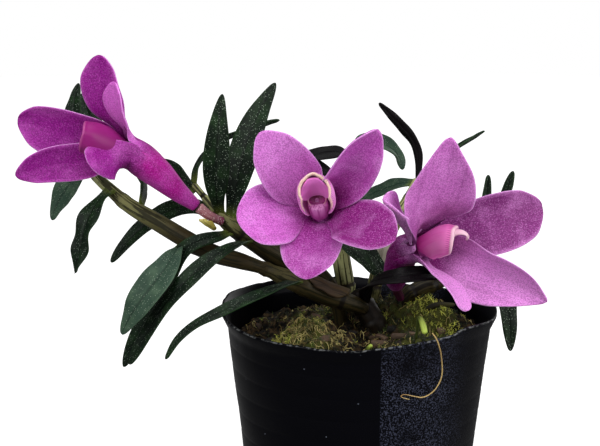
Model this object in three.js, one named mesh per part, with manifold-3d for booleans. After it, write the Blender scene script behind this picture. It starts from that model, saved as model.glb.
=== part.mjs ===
// A miniature dendrobium orchid in bloom, growing in a soft black nursery pot.
//
// Millimetres, +Z up. The origin is the middle of the pot's underside, which is the face it stands on.
// The canes lean out over the rim towards -X, and the open flowers look towards -Y.
// Every piece keeps an air gap of GAP to its neighbours, so no two solids share a surface.

import * as THREE from "three";
import { mergeVertices } from "three/addons/utils/BufferGeometryUtils.js";
import Module from "manifold-3d";

const wasm = await Module();
wasm.setup();

// ------------------------------------------------------------------ driving dimensions

const GAP = 0.3; // air between neighbouring pieces
const LEAF_THICKNESS = 0.75;
const TEPAL_THICKNESS = 0.8;
const TURN_SHARE = 0.5; // a turned blade has reached its full turn at this share of its length

const POT = {
  height: 68,
  footRadius: 28.5,
  shoulderRadius: 35.7, // where the wall meets the flared rim
  shoulderDrop: 4, // how far the shoulder lies below the rim
  rimRadius: 37.3,
  wall: 0.9,
  floor: 1.4,
  footChamfer: 0.8,
  sides: 48,
  drainHoles: 8,
  drainRadius: 2.2,
  drainCircle: 20,
};

const MEDIUM = {
  edgeHeight: 60, // bark and moss meet the wall here
  edgeDip: 4, // and nowhere lower than this below it
  lumpHeight: 1.1,
  lumpLength: 9, // from one lump of moss to the next
  rings: 11,
  // heaps of moss: place x, y, how high they rise and how far they spread
  heaps: [
    [9, 11, 6.2, 14],
    [-13, 7, 3.6, 9],
    [-14, -15, 9.2, 10],
    [-13, -27, 3.5, 7],
    [14, -25, 6.4, 10],
    [20, 2, 6.6, 10],
    [-28, -8, -3, 12],
  ],
};

// ------------------------------------------------------------------ materials

const finish = (color, roughness) =>
  new THREE.MeshStandardMaterial({ color, roughness, metalness: 0 });
const FINISH = {
  pot: finish(0x15161a, 0.5),
  medium: finish(0x4a4a22, 0.95),
  cane: finish(0x6f7636, 0.55),
  oldCane: finish(0x5d5630, 0.7),
  leaf: finish(0x22392a, 0.5),
  tepal: finish(0xbb4fb8, 0.55),
  lip: finish(0xd873c0, 0.5),
  column: finish(0xa82a7c, 0.5),
  pedicel: finish(0x9c4b72, 0.6),
  sheath: finish(0x9a8f6a, 0.8),
  root: finish(0x9fb85a, 0.6),
  rootHair: finish(0xb59a63, 0.7),
};

// ------------------------------------------------------------------ small helpers

const vec = (p) => new THREE.Vector3(...p);
const mix = (a, b, t) => a + (b - a) * t;
const degrees = THREE.MathUtils.degToRad;

/** Value at u (0 to 1) of evenly spaced entries, eased from one to the next. */
function along(values, u) {
  const x = Math.min(Math.max(u, 0), 1) * (values.length - 1);
  const i = Math.min(Math.floor(x), values.length - 2);
  return mix(values[i], values[i + 1], THREE.MathUtils.smoothstep(x - i, 0, 1));
}

/** Closed skin over rings of equal, even point counts. Both ends are capped by a ladder of quads. */
function skin(rings) {
  const count = rings[0].length;
  const points = rings.flat();
  const faces = [];
  const last = (rings.length - 1) * count;
  for (let j = 0; j < rings.length - 1; j++) {
    for (let k = 0; k < count; k++) {
      const a = j * count + k;
      const b = j * count + ((k + 1) % count);
      const c = b + count;
      const d = a + count;
      // Both faces of a thin blade are split along the same diagonal, so they never cross.
      if (k < count / 2) faces.push([a, b, c], [a, c, d]);
      else faces.push([a, b, d], [b, c, d]);
    }
  }
  for (let k = 0; k < count / 2 - 1; k++) {
    const a = k;
    const b = k + 1;
    const c = count - 2 - k;
    const d = count - 1 - k;
    faces.push([a, c, b], [a, d, c]);
    faces.push([last + a, last + b, last + c], [last + a, last + c, last + d]);
  }
  const geometry = new THREE.BufferGeometry();
  const flat = new Float32Array(points.flatMap((p) => [p.x, p.y, p.z]));
  geometry.setAttribute("position", new THREE.BufferAttribute(flat, 3));
  geometry.setIndex(faces.flat());
  return geometry;
}

/** A closed geometry as a solid that can be joined and cut. */
function solidOf(geometry) {
  const bare = geometry.clone();
  bare.deleteAttribute("normal");
  bare.deleteAttribute("uv");
  const merged = mergeVertices(bare, 1e-4);
  const made = new wasm.Manifold(
    new wasm.Mesh({
      numProp: 3,
      vertProperties: merged.attributes.position.array,
      triVerts: new Uint32Array(merged.index.array),
    }),
  );
  if (made.volume() > 0) return made;
  const turned = merged.index.array;
  for (let i = 0; i < turned.length; i += 3)
    [turned[i], turned[i + 1]] = [turned[i + 1], turned[i]];
  return new wasm.Manifold(
    new wasm.Mesh({
      numProp: 3,
      vertProperties: merged.attributes.position.array,
      triVerts: new Uint32Array(turned),
    }),
  );
}

/** The largest of a solid's separate bodies: a cut can leave loose crumbs. */
function largest(solid) {
  return solid
    .decompose()
    .reduce((a, b) => (b.volume() > a.volume() ? b : a));
}

const joined = (solids) => solids.reduce((a, b) => a.add(b));
const without = (solid, cutters) => largest(cutters.reduce((a, b) => a.subtract(b), solid));

function meshOf(name, solid, material) {
  const { vertProperties, triVerts } = solid.getMesh();
  const geometry = new THREE.BufferGeometry();
  geometry.setAttribute("position", new THREE.BufferAttribute(vertProperties, 3));
  geometry.setIndex(new THREE.BufferAttribute(triVerts, 1));
  const mesh = new THREE.Mesh(geometry, material);
  mesh.name = name;
  return mesh;
}

// ------------------------------------------------------------------ round stems and flat blades

/**
 * A round stem through points, thick as radii says at each of them.
 * extra widens it all over and lengthens it at both ends, for cutting room round a stem.
 */
function stem({ path, radii, sides = 8, perSpan = 2 }, extra = 0) {
  const curve = new THREE.CatmullRomCurve3(path.map(vec), false, "centripetal");
  const steps = (path.length - 1) * perSpan;
  let across = new THREE.Vector3();
  const rings = [];
  for (let i = 0; i <= steps; i++) {
    const t = i / steps;
    const centre = curve.getPoint(t);
    const tangent = curve.getTangent(t);
    if (i === 0) {
      const least = Math.abs(tangent.x) < 0.7 ? [1, 0, 0] : [0, 1, 0];
      across.crossVectors(tangent, vec(least)).normalize();
    }
    across = across.addScaledVector(tangent, -across.dot(tangent)).normalize();
    const other = new THREE.Vector3().crossVectors(tangent, across);
    const end = i === 0 ? -extra : i === steps ? extra : 0;
    const radius = along(radii, t) + extra;
    const ring = [];
    for (let k = 0; k < sides; k++) {
      const angle = (2 * Math.PI * (k + 0.5)) / sides;
      ring.push(
        centre
          .clone()
          .addScaledVector(across, radius * Math.cos(angle))
          .addScaledVector(other, radius * Math.sin(angle))
          .addScaledVector(tangent, end),
      );
    }
    rings.push(ring);
    across = across.clone();
  }
  return solidOf(skin(rings));
}

/**
 * A thin blade along a curved midrib.
 *   path    points of the midrib
 *   width   full width at its widest, measured along the surface
 *   shape   share of the width, at even steps from base to tip
 *   face    where the upper face looks
 *   roll    half angle of the arc that the blade is curled to, at even steps, in degrees
 *   turn    turn about the midrib beyond the base, in degrees
 *   twist   further turn from base to tip, in degrees
 *   wave    height and count of the ripples along the margins
 */
function blade({
  path,
  width,
  shape,
  face,
  roll = [20, 20],
  turn = 0,
  twist = 0,
  wave = [0, 0],
  thickness = LEAF_THICKNESS,
  across = 2,
  steps = 8,
}) {
  const curve = new THREE.CatmullRomCurve3(path.map(vec), false, "centripetal");
  const rings = [];
  for (let j = 0; j <= steps; j++) {
    const u = Math.sin((j / steps) * (Math.PI / 2)) * 0.35 + (j / steps) * 0.65;
    const centre = curve.getPointAt(Math.min(u, 1));
    const tangent = curve.getTangentAt(Math.min(u, 1));
    const normal = vec(face).normalize();
    normal.addScaledVector(tangent, -normal.dot(tangent)).normalize();
    const settled = THREE.MathUtils.smoothstep(u, 0, TURN_SHARE);
    normal.applyAxisAngle(tangent, degrees(turn * settled + twist * u));
    const side = new THREE.Vector3().crossVectors(tangent, normal);
    const half = (width / 2) * along(shape, u);
    const arc = degrees(Math.max(along(roll, u), 0.5));
    const top = [];
    const bottom = [];
    for (let k = 0; k <= across; k++) {
      const s = (2 * k) / across - 1;
      const ripple = wave[0] * s * s * Math.sin(2 * Math.PI * (wave[1] * u + 0.2 * s));
      const x = (half / arc) * Math.sin(arc * s);
      const y = (half / arc) * (1 - Math.cos(arc * s)) + ripple;
      const lean = side
        .clone()
        .multiplyScalar(-Math.sin(arc * s))
        .addScaledVector(normal, Math.cos(arc * s));
      const point = centre.clone().addScaledVector(side, x).addScaledVector(normal, y);
      top.push(point.clone().addScaledVector(lean, thickness / 2));
      bottom.unshift(point.clone().addScaledVector(lean, -thickness / 2));
    }
    rings.push([...top, ...bottom]);
  }
  return solidOf(skin(rings));
}

// ------------------------------------------------------------------ pot

/** How far the soft rim has sagged or lifted, and been pressed out of round, at an angle. */
const rimLift = (angle) =>
  1.2 * Math.sin(2 * angle + 2.63) + 0.25 * Math.sin(5 * angle) + 0.15 * Math.sin(9 * angle + 1);
const rimPress = (angle) => 0.5 * Math.cos(2 * angle + 0.5);

function potRing(radius, height, share) {
  const ring = [];
  for (let k = 0; k < POT.sides; k++) {
    const angle = (2 * Math.PI * k) / POT.sides;
    const r = radius + rimPress(angle) * share;
    ring.push(
      new THREE.Vector3(
        r * Math.cos(angle),
        r * Math.sin(angle),
        height + rimLift(angle) * share ** 3,
      ),
    );
  }
  return ring;
}

/** Outer radius of the pot's straight wall at a height. */
const wallRadius = (z) =>
  mix(POT.footRadius, POT.shoulderRadius, z / (POT.height - POT.shoulderDrop));

function potSolid() {
  const shoulder = POT.height - POT.shoulderDrop;
  const outer = [
    [POT.footRadius - POT.footChamfer, 0],
    [POT.footRadius, POT.footChamfer],
    [wallRadius(shoulder / 2), shoulder / 2],
    [POT.shoulderRadius, shoulder],
    [POT.rimRadius, POT.height - POT.wall],
    [POT.rimRadius, POT.height],
  ];
  const inner = [
    [POT.rimRadius - POT.wall, POT.height],
    [POT.shoulderRadius - POT.wall, shoulder],
    [wallRadius(shoulder / 2) - POT.wall, shoulder / 2],
    [POT.footRadius - POT.wall, POT.floor],
  ];
  const rings = [...outer, ...inner].map(([r, z]) => potRing(r, z, z / POT.height));
  const holes = [];
  for (let k = 0; k < POT.drainHoles; k++) {
    const angle = (2 * Math.PI * (k + 0.5)) / POT.drainHoles;
    const hole = new THREE.CylinderGeometry(POT.drainRadius, POT.drainRadius, 8, 12);
    hole.rotateX(Math.PI / 2);
    hole.translate(POT.drainCircle * Math.cos(angle), POT.drainCircle * Math.sin(angle), 0);
    holes.push(solidOf(hole));
  }
  // The first and last rings lie below the rim's sag, so foot and floor stay flat.
  rings[0].forEach((p) => (p.z = 0));
  rings[rings.length - 1].forEach((p) => (p.z = POT.floor));
  return without(solidOf(skin(rings)), holes);
}

// ------------------------------------------------------------------ bark and moss

function mediumHeight(x, y) {
  const heaps = MEDIUM.heaps.map(
    ([cx, cy, rise, spread]) => rise * Math.exp(-((x - cx) ** 2 + (y - cy) ** 2) / spread ** 2),
  );
  const k = (2 * Math.PI) / MEDIUM.lumpLength;
  const lumps =
    Math.sin(k * x + 0.6) * Math.sin(k * y - 0.9) +
    0.5 * Math.sin(1.9 * k * x - 1.3) * Math.sin(1.7 * k * y + 0.5);
  return MEDIUM.edgeHeight + heaps.reduce((a, b) => a + b) + MEDIUM.lumpHeight * lumps;
}

function mediumSolid(holes) {
  const base = POT.floor + GAP;
  const inside = (z, share) => {
    const reach = (wallRadius(z) - POT.wall - GAP) * share;
    return potRing(reach, z, 0).map((p, k) => {
      const press = rimPress((2 * Math.PI * k) / POT.sides) * (z / POT.height) * share;
      const stretch = (reach + press) / reach;
      return new THREE.Vector3(p.x * stretch, p.y * stretch, z);
    });
  };
  const mid = (MEDIUM.edgeHeight + base) / 2;
  const rings = [inside(base, 1), inside(mid, 1)];
  for (let i = 0; i < MEDIUM.rings; i++) {
    const share = 1 - i / MEDIUM.rings;
    const ring = inside(MEDIUM.edgeHeight - MEDIUM.edgeDip, share);
    ring.forEach((p) => (p.z = mediumHeight(p.x, p.y)));
    rings.push(ring);
  }
  return without(solidOf(skin(rings)), holes);
}

// ------------------------------------------------------------------ canes and rhizome

// Each path starts at the foot of the cane and ends at its growing tip.
const CANES = {
  rhizome: {
    path: [[7.5, -2, 54], [5.3, -2, 61.9], [2.5, -1, 67.3], [-0.2, 0, 70.6], [-1.6, 1, 72.4]],
    radii: [2.3, 3.0, 3.1, 2.8, 2.2],
    old: true,
  },
  cane_arching: {
    path: [
      [1.6, -2.6, 68.6],
      [-1.8, -6, 71],
      [-8, -7, 73.3],
      [-15, -8, 76.6],
      [-20.9, -9, 79.4],
      [-25.6, -10, 81.7],
      [-32.2, -11, 84.1],
      [-38.9, -12, 86.3],
      [-45.4, -12, 89.7],
      [-53.4, -11, 94.3],
      [-61.3, -10, 98.9],
      [-66.4, -9, 103.1],
      [-69.8, -8, 106.3],
      [-73, -6, 111.7],
      [-73.8, -5, 115.6],
    ],
    radii: [1.8, 2.2, 2.7, 2.8, 2.3, 1.7, 2.2, 2.4, 2.4, 2.3, 2.0, 1.6, 1.4, 1.2, 0.9],
    perSpan: 1,
  },
  cane_flowering: {
    path: [
      [-4.2, 3, 57],
      [-5.4, 2.7, 67],
      [-7.4, 2.5, 73],
      [-11.4, 1.6, 77.6],
      [-20.2, -3, 83],
      [-28.2, -6, 88.6],
      [-33.4, -8, 92.3],
      [-37, -8, 95.2],
      [-40.9, -6, 99.5],
      [-44.7, -4, 103.6],
    ],
    radii: [1.6, 1.9, 2.0, 2.4, 3.5, 3.0, 2.5, 1.7, 0.9, 0.9],
  },
  cane_middle: {
    path: [
      [-2.6, 9.5, 61],
      [-3.2, 8.8, 71],
      [-4.7, 8.5, 80.6],
      [-5.6, 9, 89.5],
      [-4.4, 12, 98.8],
      [-1, 16, 108.5],
    ],
    radii: [2.0, 2.5, 2.5, 2.0, 1.5, 1.1],
  },
  cane_back: {
    path: [
      [2.6, 9.5, 60],
      [4.2, 10, 69],
      [6, 11.5, 76],
      [7.9, 13, 82],
      [11.5, 16, 90.9],
      [14.4, 18, 95.4],
      [17.3, 20, 100.6],
    ],
    radii: [1.9, 2.0, 2.1, 2.0, 1.6, 1.3, 1.1],
  },
  cane_right: {
    path: [
      [9.5, 6, 60],
      [12.5, 6, 68.8],
      [17.4, 7, 71.9],
      [23.1, 9, 73.6],
      [27.5, 12, 78.2],
      [31.4, 16, 84.6],
    ],
    radii: [1.9, 2.1, 2.2, 2.1, 1.6, 1.1],
    old: true,
  },
};

// ------------------------------------------------------------------ leaves

// Share of a leaf's width at even steps from its clasping base to its tip.
const LANCE = [0.34, 0.5, 0.82, 1, 0.96, 0.78, 0.5, 0.14];
const STRAP = [0.42, 0.6, 0.86, 1, 1, 0.9, 0.66, 0.2];
const SLIM = [0.5, 0.6, 0.8, 1, 1, 0.9, 0.75, 0.35];

// Each path starts inside the cane that the leaf clasps; the cane's own room is then cut away from it.
const LEAVES = {
  leaf_arching_1: {
    path: [[-74.3, -5.6, 113.4], [-76.2, -2.5, 121.6], [-76, 0, 126.2], [-75.3, 2, 129.8]],
    width: 5.2,
    shape: LANCE,
    face: [-0.4, -1, 0.2],
  },
  leaf_arching_2: {
    path: [[-72.8, -4.5, 113.4], [-72, 0, 118.6], [-73.6, 4, 122.6], [-75.2, 7.4, 126.4]],
    width: 6.4,
    shape: LANCE,
    face: [0.1, -1, 0.3],
  },
  leaf_arching_3: {
    path: [[-71, -7, 109.4], [-75.5, -2.2, 106], [-79.3, 1, 101.2], [-82, 2.2, 96.7], [-83.7, 2.2, 92.3]],
    width: 8.6,
    shape: LANCE,
    face: [-0.5, -1, 0.5],
  },
  leaf_arching_4: {
    path: [
      [-65.4, -10, 103.2],
      [-68.9, -13.5, 100.3],
      [-72.1, -15.5, 94.4],
      [-73.5, -16, 88.4],
      [-75.3, -15, 81.7],
    ],
    width: 6.2,
    shape: STRAP,
    face: [-0.75, -1, 0.35],
    wave: [0.7, 2.6],
    steps: 12,
  },
  leaf_arching_5: {
    path: [
      [-58, -9.8, 98.4],
      [-57.6, -3, 102.7],
      [-60.4, 3, 107.6],
      [-64.8, 7, 112.9],
      [-68.6, 11, 117.4],
    ],
    width: 7.4,
    shape: STRAP,
    face: [-0.6, -0.6, -0.5],
  },
  leaf_flowering_1: {
    path: [
      [-37.3, -8.5, 95.8],
      [-38, -12, 103.4],
      [-37.8, -13, 112.3],
      [-37.1, -12, 122],
      [-36.3, -10, 128.4],
    ],
    width: 7.2,
    shape: LANCE,
    face: [0.05, -1, 0.15],
  },
  leaf_flowering_2: {
    path: [
      [-34.6, -8, 93.8],
      [-33.2, -8, 102.9],
      [-31.2, -6, 111.9],
      [-28, -2, 120.6],
      [-22.7, 3, 129.8],
    ],
    width: 8.2,
    shape: LANCE,
    face: [0.25, -1, 0.25],
  },
  leaf_flowering_3: {
    path: [
      [-37.9, -7.8, 95],
      [-44.4, -1, 96.7],
      [-51.1, 2, 95.1],
      [-58.8, 4, 90.3],
      [-64.7, 4, 84.4],
      [-68.1, 3, 80.3],
    ],
    width: 5.8,
    shape: STRAP,
    face: [-0.45, -0.8, 0.6],
  },
  leaf_flowering_4: {
    path: [[-43.9, -4.4, 101.6], [-47.8, -3, 104.6], [-51, 1.6, 106.7], [-55.8, 5, 108.4]],
    width: 4.6,
    shape: STRAP,
    face: [-0.5, -1, 0.9],
  },
  leaf_flowering_5: {
    path: [
      [-44.4, -4, 103.2],
      [-43.8, -0.6, 107.6],
      [-39.7, 4, 112.4],
      [-31, 7.6, 116.1],
      [-21.7, 11, 118.6],
    ],
    width: 5.6,
    shape: STRAP,
    face: [-0.3, 0.4, 1],
  },
  leaf_flowering_6: {
    path: [
      [-34.6, -8.8, 91.2],
      [-37.8, -15.6, 91.6],
      [-41.5, -17.3, 91.1],
      [-45, -17, 89.4],
      [-48, -16, 86],
      [-51, -15.5, 80.4],
      [-54.6, -15, 73.5],
      [-59.6, -13.5, 63.8],
      [-63.5, -12, 55],
    ],
    width: 5.4,
    shape: SLIM,
    face: [-0.25, -1, 0.4],
    roll: [30, 30, 25],
    steps: 12,
  },
  leaf_flowering_7: {
    path: [
      [-29.2, -6.8, 88.4],
      [-33.1, -17.5, 89.8],
      [-38.5, -24, 87.8],
      [-44, -25.5, 83.3],
      [-50.4, -24, 76.1],
      [-56.3, -21, 66.5],
      [-61.1, -19, 57.9],
    ],
    width: 5.2,
    shape: SLIM,
    face: [-0.4, -1, 0.85],
    steps: 10,
  },
  leaf_arching_6: {
    path: [
      [-47.2, -12.6, 89],
      [-48.6, -18.4, 88],
      [-50.6, -22.2, 85],
      [-53.9, -25, 81],
      [-58.3, -25.4, 75],
      [-62.5, -22.4, 67.2],
    ],
    width: 8.4,
    shape: [0.22, 0.42, 0.78, 1, 1, 0.85, 0.56, 0.16],
    face: [-0.35, -1, 0.5],
  },
  leaf_low_front: {
    path: [
      [-16, -9.5, 77.8],
      [-19.5, -22, 80.6],
      [-27.1, -33, 80.2],
      [-35.5, -36, 77.1],
      [-42.2, -37, 73.9],
      [-46.6, -38, 70.2],
      [-49.8, -38, 65.2],
    ],
    width: 4,
    shape: SLIM,
    face: [-0.2, -0.55, 1],
    steps: 10,
  },
  leaf_middle_1: {
    path: [
      [-2.2, 14.8, 105.8],
      [-4.8, 17, 108.4],
      [-8.6, 17.4, 108.3],
      [-13, 16.4, 107.6],
      [-17.9, 15, 106.8],
    ],
    width: 4.4,
    shape: STRAP,
    face: [-0.1, -0.9, 0.7],
  },
  leaf_middle_2: {
    path: [
      [-0.8, 16, 107.9],
      [2.3, 20.6, 110.9],
      [7.7, 23, 109.8],
      [11.4, 24.5, 106.8],
      [13.4, 25, 102.3],
    ],
    width: 6.8,
    shape: STRAP,
    face: [0.35, -0.6, 1],
    roll: [15, 30, 40, 40],
  },
  leaf_middle_3: {
    path: [[-4.6, 11.6, 97.8], [-7.4, 14, 101.8], [-10.8, 16, 104.6], [-15.5, 19, 107]],
    width: 4.6,
    shape: STRAP,
    face: [0.2, -0.6, 1],
  },
  leaf_middle_4: {
    path: [[-4.9, 7.8, 84.4], [-3.4, 2.4, 85], [-0.6, -0.4, 83.4], [2.5, -2.2, 80.8], [5.2, -3.4, 78.2]],
    width: 4.8,
    shape: SLIM,
    face: [0.5, -0.8, 0.75],
  },
  leaf_middle_5: {
    path: [[-5, 9.8, 86.8], [-1.6, 8.2, 86.4], [2.4, 7, 83], [5.4, 6.2, 79.6], [7.2, 5.7, 76.4]],
    width: 4.6,
    shape: SLIM,
    face: [0.6, -0.8, 0.6],
  },
  leaf_back_1: {
    path: [
      [17.3, 19.6, 99.6],
      [17.2, 20, 106.9],
      [15.5, 21, 111.6],
      [12.4, 22.3, 115.2],
      [9.1, 23.4, 118.6],
      [6.3, 25, 121.5],
    ],
    width: 4.2,
    shape: SLIM,
    face: [0.9, 0.75, 0.2],
  },
  leaf_back_2: {
    path: [[16.4, 20, 99.4], [12.4, 24, 98.2], [7.9, 28, 95.8], [3.6, 31, 92.9], [-0.1, 33, 88.6]],
    width: 6.6,
    shape: STRAP,
    face: [-0.2, -0.6, 1],
  },
  leaf_back_3: {
    path: [[17.9, 20.6, 100], [24, 24.6, 105.4], [30.6, 28, 109.3], [37.2, 31, 112.6]],
    width: 4.6,
    shape: SLIM,
    face: [-0.3, 0.2, 1],
  },
  leaf_right_1: {
    path: [[31, 15.6, 84], [34, 14.6, 89.7], [36, 15.1, 95.9], [36.7, 16, 102.4]],
    width: 3.2,
    shape: SLIM,
    face: [0.2, -1, 0.2],
    roll: [30, 60, 60],
  },
  leaf_right_2: {
    path: [[31.6, 16.2, 84.2], [37.7, 20, 88.7], [42.4, 24, 94.3], [45.1, 26, 101.7]],
    width: 3.8,
    shape: SLIM,
    face: [-0.4, -1, 0.4],
    roll: [30, 50, 50],
  },
  leaf_right_3: {
    path: [[27.2, 12, 77.4], [34.8, 9, 77.2], [40.1, 6.5, 72.4], [42, 5.5, 64], [42.8, 5, 54.3]],
    width: 6.2,
    shape: STRAP,
    face: [0.45, -1, 0.5],
  },
  leaf_crown_front: {
    path: [
      [1.2, -1.6, 69.4],
      [2.6, -9.5, 77.2],
      [9.5, -15.5, 80.8],
      [16.8, -14, 81.2],
      [24.5, -8.5, 79.4],
    ],
    width: 6,
    shape: SLIM,
    face: [0.1, -0.6, 0.9],
  },
};

// ------------------------------------------------------------------ flowers

// Share of a floral leaf's width at even steps from the throat to its tip.
const OVATE = [0.42, 0.72, 0.95, 1, 0.93, 0.74, 0.44, 0.1];
const EGG = [0.46, 0.82, 1, 0.98, 0.86, 0.66, 0.38, 0.1];
const BLUNT = [0.4, 0.7, 0.93, 1, 0.98, 0.88, 0.66, 0.18];
const ROUNDED = [0.3, 0.5, 0.78, 0.96, 1, 0.94, 0.74, 0.22];
const PADDLE = [0.4, 0.5, 0.6, 0.74, 0.9, 1, 0.94, 0.55];
const FLAP = [0.85, 0.92, 0.98, 1, 0.98, 0.88, 0.66, 0.18];
const THROAT = 3.1; // the tepals leave the throat at this radius

// facing   where the flower looks
// tepals   sepals and petals: angle round the axis from the flower's own side, counted towards its top,
//          spread away from the axis, and turn about the midrib, all in degrees
// spur     the nectar spur behind the throat, ending at the pedicel
// lipAngle how far the lip leans towards the flower's top, in degrees
// lipRise  how much higher the lip's crown stands than usual
// lipScale size of the lip, and lipLength its length alone, against the usual
const BLOOMS = {
  bloom_left: {
    throat: [-60.2, -16, 114.1],
    facing: [-0.84, -0.41, 0.35],
    tepals: [
      { angle: 102, spread: 56, length: 26, width: 13.3, shape: ROUNDED, turn: 9, twist: 26, curl: 27 },
      { angle: 83, spread: 56.9, length: 19.2, width: 10.4, shape: BLUNT, turn: -5.5, twist: 29, curl: 23.8 },
      { angle: 184, spread: 33.7, length: 30.6, width: 15.2, shape: BLUNT, turn: -26, twist: 14, curl: 43 },
      { angle: 231, spread: 40.4, length: 30, width: 10.2, shape: FLAP, turn: -44, twist: -6, curl: 33 },
      { angle: 331.7, spread: 43.5, length: 17.7, width: 10.6, shape: FLAP, turn: 52, twist: 25, curl: 20 },
    ],
    lipAngle: 18,
    lipRise: -0.2,
    lipScale: 0.91,
    spur: [
      [-59.8, -15.9, 113.9],
      [-57, -15.5, 111.8],
      [-52.9, -15, 108.3],
      [-48, -14, 103.4],
      [-43, -12.7, 99],
    ],
    spurRadii: [3.8, 4.3, 3.9, 2.7, 1.5],
    pedicel: [[-42.8, -12.6, 98.9], [-40, -12.2, 96.6], [-36.6, -10.2, 94.5]],
  },
  bloom_front: {
    throat: [-11, -20, 99.7],
    facing: [-0.09, -0.95, 0.3],
    tepals: [
      { angle: 130, spread: 54.5, length: 27.6, width: 15.4, shape: BLUNT, turn: -15, twist: 20, curl: 28 },
      { angle: 49.5, spread: 49, length: 31.2, width: 15.3, shape: BLUNT, turn: 50, twist: -16, curl: 60 },
      { angle: 192, spread: 61.4, length: 23.1, width: 16.9, shape: ROUNDED, turn: 6, twist: 8, curl: 16 },
      { angle: 337, spread: 54, length: 27, width: 15, shape: ROUNDED, turn: -30, twist: 12, curl: 21 },
      { angle: 263.7, spread: 62.3, length: 21.1, width: 16.7, shape: BLUNT, turn: 1, twist: 11, curl: 30 },
    ],
    lipAngle: 97,
    lipRise: 2.3,
    lipScale: 0.94,
    spur: [
      [-11, -19.4, 99.6],
      [-10.7, -13.5, 98],
      [-9.8, -8, 95.2],
      [-7.8, -2.5, 92.2],
      [-6.6, 1.6, 90.4],
    ],
    spurRadii: [3.7, 4.0, 3.8, 2.8, 1.7],
    pedicel: [[-6.5, 1.9, 90.3], [-5.8, 4.4, 89.2], [-5.4, 8.4, 88.2]],
  },
  bloom_right: {
    throat: [14.8, -12, 88.3],
    facing: [0.87, -0.48, 0.125],
    tepals: [
      { angle: 103.5, spread: 62.5, length: 33.7, width: 21, shape: EGG, turn: -43, twist: -22, curl: 29 },
      { angle: 136.5, spread: 91.5, length: 22.1, width: 10.4, shape: PADDLE, turn: 56, twist: -33, curl: 78 },
      { angle: 14, spread: 42.4, length: 36.2, width: 17.4, shape: ROUNDED, turn: -21, twist: 3, curl: 41 },
      { angle: 260, spread: 51, length: 22, width: 10.5, shape: PADDLE, curl: 10 },
      { angle: 311.7, spread: 42, length: 38, width: 18.6, shape: OVATE, turn: 63, twist: -3, curl: 54 },
    ],
    lipAngle: 130,
    lipRise: 0.9,
    lipScale: 0.85,
    lipLength: 0.9,
    spur: [[14.5, -11.7, 88.1], [12, -9, 86.2], [10.6, -5, 81.6], [10, -1.4, 77], [10.2, 0.8, 74]],
    spurRadii: [3.7, 4.0, 3.9, 3.2, 1.9],
    pedicel: [[10.3, 1.1, 73.7], [10.9, 2.8, 71.8], [12.2, 5.6, 69]],
  },
};

const LIP = {
  length: 15.6,
  start: 1.1, // in front of the throat
  width: 22, // from margin to margin, measured round the hood
  shape: [0.42, 0.62, 0.86, 1, 1, 0.98, 0.88, 0.72],
  roll: [128, 138, 138, 136, 134, 132, 128, 122], // half angle of the hood's arc
  crown: [2.4, 3.3, 4.2, 4.9, 5.1, 4.3], // the hood's top above the flower's axis
  rise: [0, 0.3, 0.6, 0.9, 1, 1], // share of a bloom's lipRise that is added to it
  slant: 0.22, // how far the margins stay behind the tip, as a share of the length
  thickness: 0.8,
  steps: 10,
  across: 10,
};
const COLUMN = { length: 6.2, radius: 1.25 };

/** Axes of a flower: forward, its own side and up. */
function flowerAxes({ facing }) {
  const forward = vec(facing).normalize();
  const up = new THREE.Vector3(0, 0, 1).addScaledVector(forward, -forward.z).normalize();
  const side = new THREE.Vector3().crossVectors(up, forward);
  return { forward, up, side };
}

/** Unit vector at an angle round the flower's axis. */
function radial({ side, up }, angle) {
  return side
    .clone()
    .multiplyScalar(Math.cos(degrees(angle)))
    .addScaledVector(up, Math.sin(degrees(angle)));
}

function tepalSolid(bloom, { angle, spread, length, width, shape, turn = 0, twist = 0, curl = 24 }) {
  const axes = flowerAxes(bloom);
  const out = radial(axes, angle);
  const at = (radius, rise) =>
    vec(bloom.throat).addScaledVector(out, radius).addScaledVector(axes.forward, rise).toArray();
  const tipRadius = length * Math.sin(degrees(spread));
  const tipRise = length * Math.cos(degrees(spread));
  return blade({
    path: [
      at(THROAT - 0.9, -1.6),
      at(mix(THROAT, tipRadius, 0.2), tipRise * 0.3),
      at(mix(THROAT, tipRadius, 0.56), tipRise * 0.72),
      at(tipRadius, tipRise),
    ],
    width,
    shape,
    face: axes.forward.toArray(),
    roll: [70, mix(curl, 45, 0.4), curl, curl * 0.7],
    turn,
    twist,
    thickness: TEPAL_THICKNESS,
    across: 4,
    steps: 8,
  });
}

/** The hooded lip over the column. Its rings stay square to the flower's axis, and its mouth is slanted. */
function lipSolid(bloom, extra = 0) {
  const axes = flowerAxes(bloom);
  const outward = radial(axes, bloom.lipAngle);
  const sideways = new THREE.Vector3().crossVectors(axes.forward, outward);
  const half = LIP.thickness / 2 + extra;
  const length = LIP.length * bloom.lipScale * (bloom.lipLength ?? 1);
  const rings = [];
  for (let j = 0; j <= LIP.steps; j++) {
    const u = j / LIP.steps;
    const width = LIP.width * bloom.lipScale + 2 * extra;
    const arc = degrees(along(LIP.roll, u));
    const radius = ((width / 2) * along(LIP.shape, u)) / arc;
    const crown = along(LIP.crown, u) + along(LIP.rise, u) * bloom.lipRise;
    const top = [];
    const bottom = [];
    for (let k = 0; k <= LIP.across; k++) {
      const s = (2 * k) / LIP.across - 1;
      const reach = LIP.start + length * u * (1 - LIP.slant * s * s);
      const at = (r) =>
        vec(bloom.throat)
          .addScaledVector(axes.forward, reach)
          .addScaledVector(sideways, r * Math.sin(arc * s))
          .addScaledVector(outward, crown - radius + r * Math.cos(arc * s));
      top.push(at(radius - half));
      bottom.unshift(at(radius + half));
    }
    rings.push([...top, ...bottom]);
  }
  return solidOf(skin(rings));
}

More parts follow.
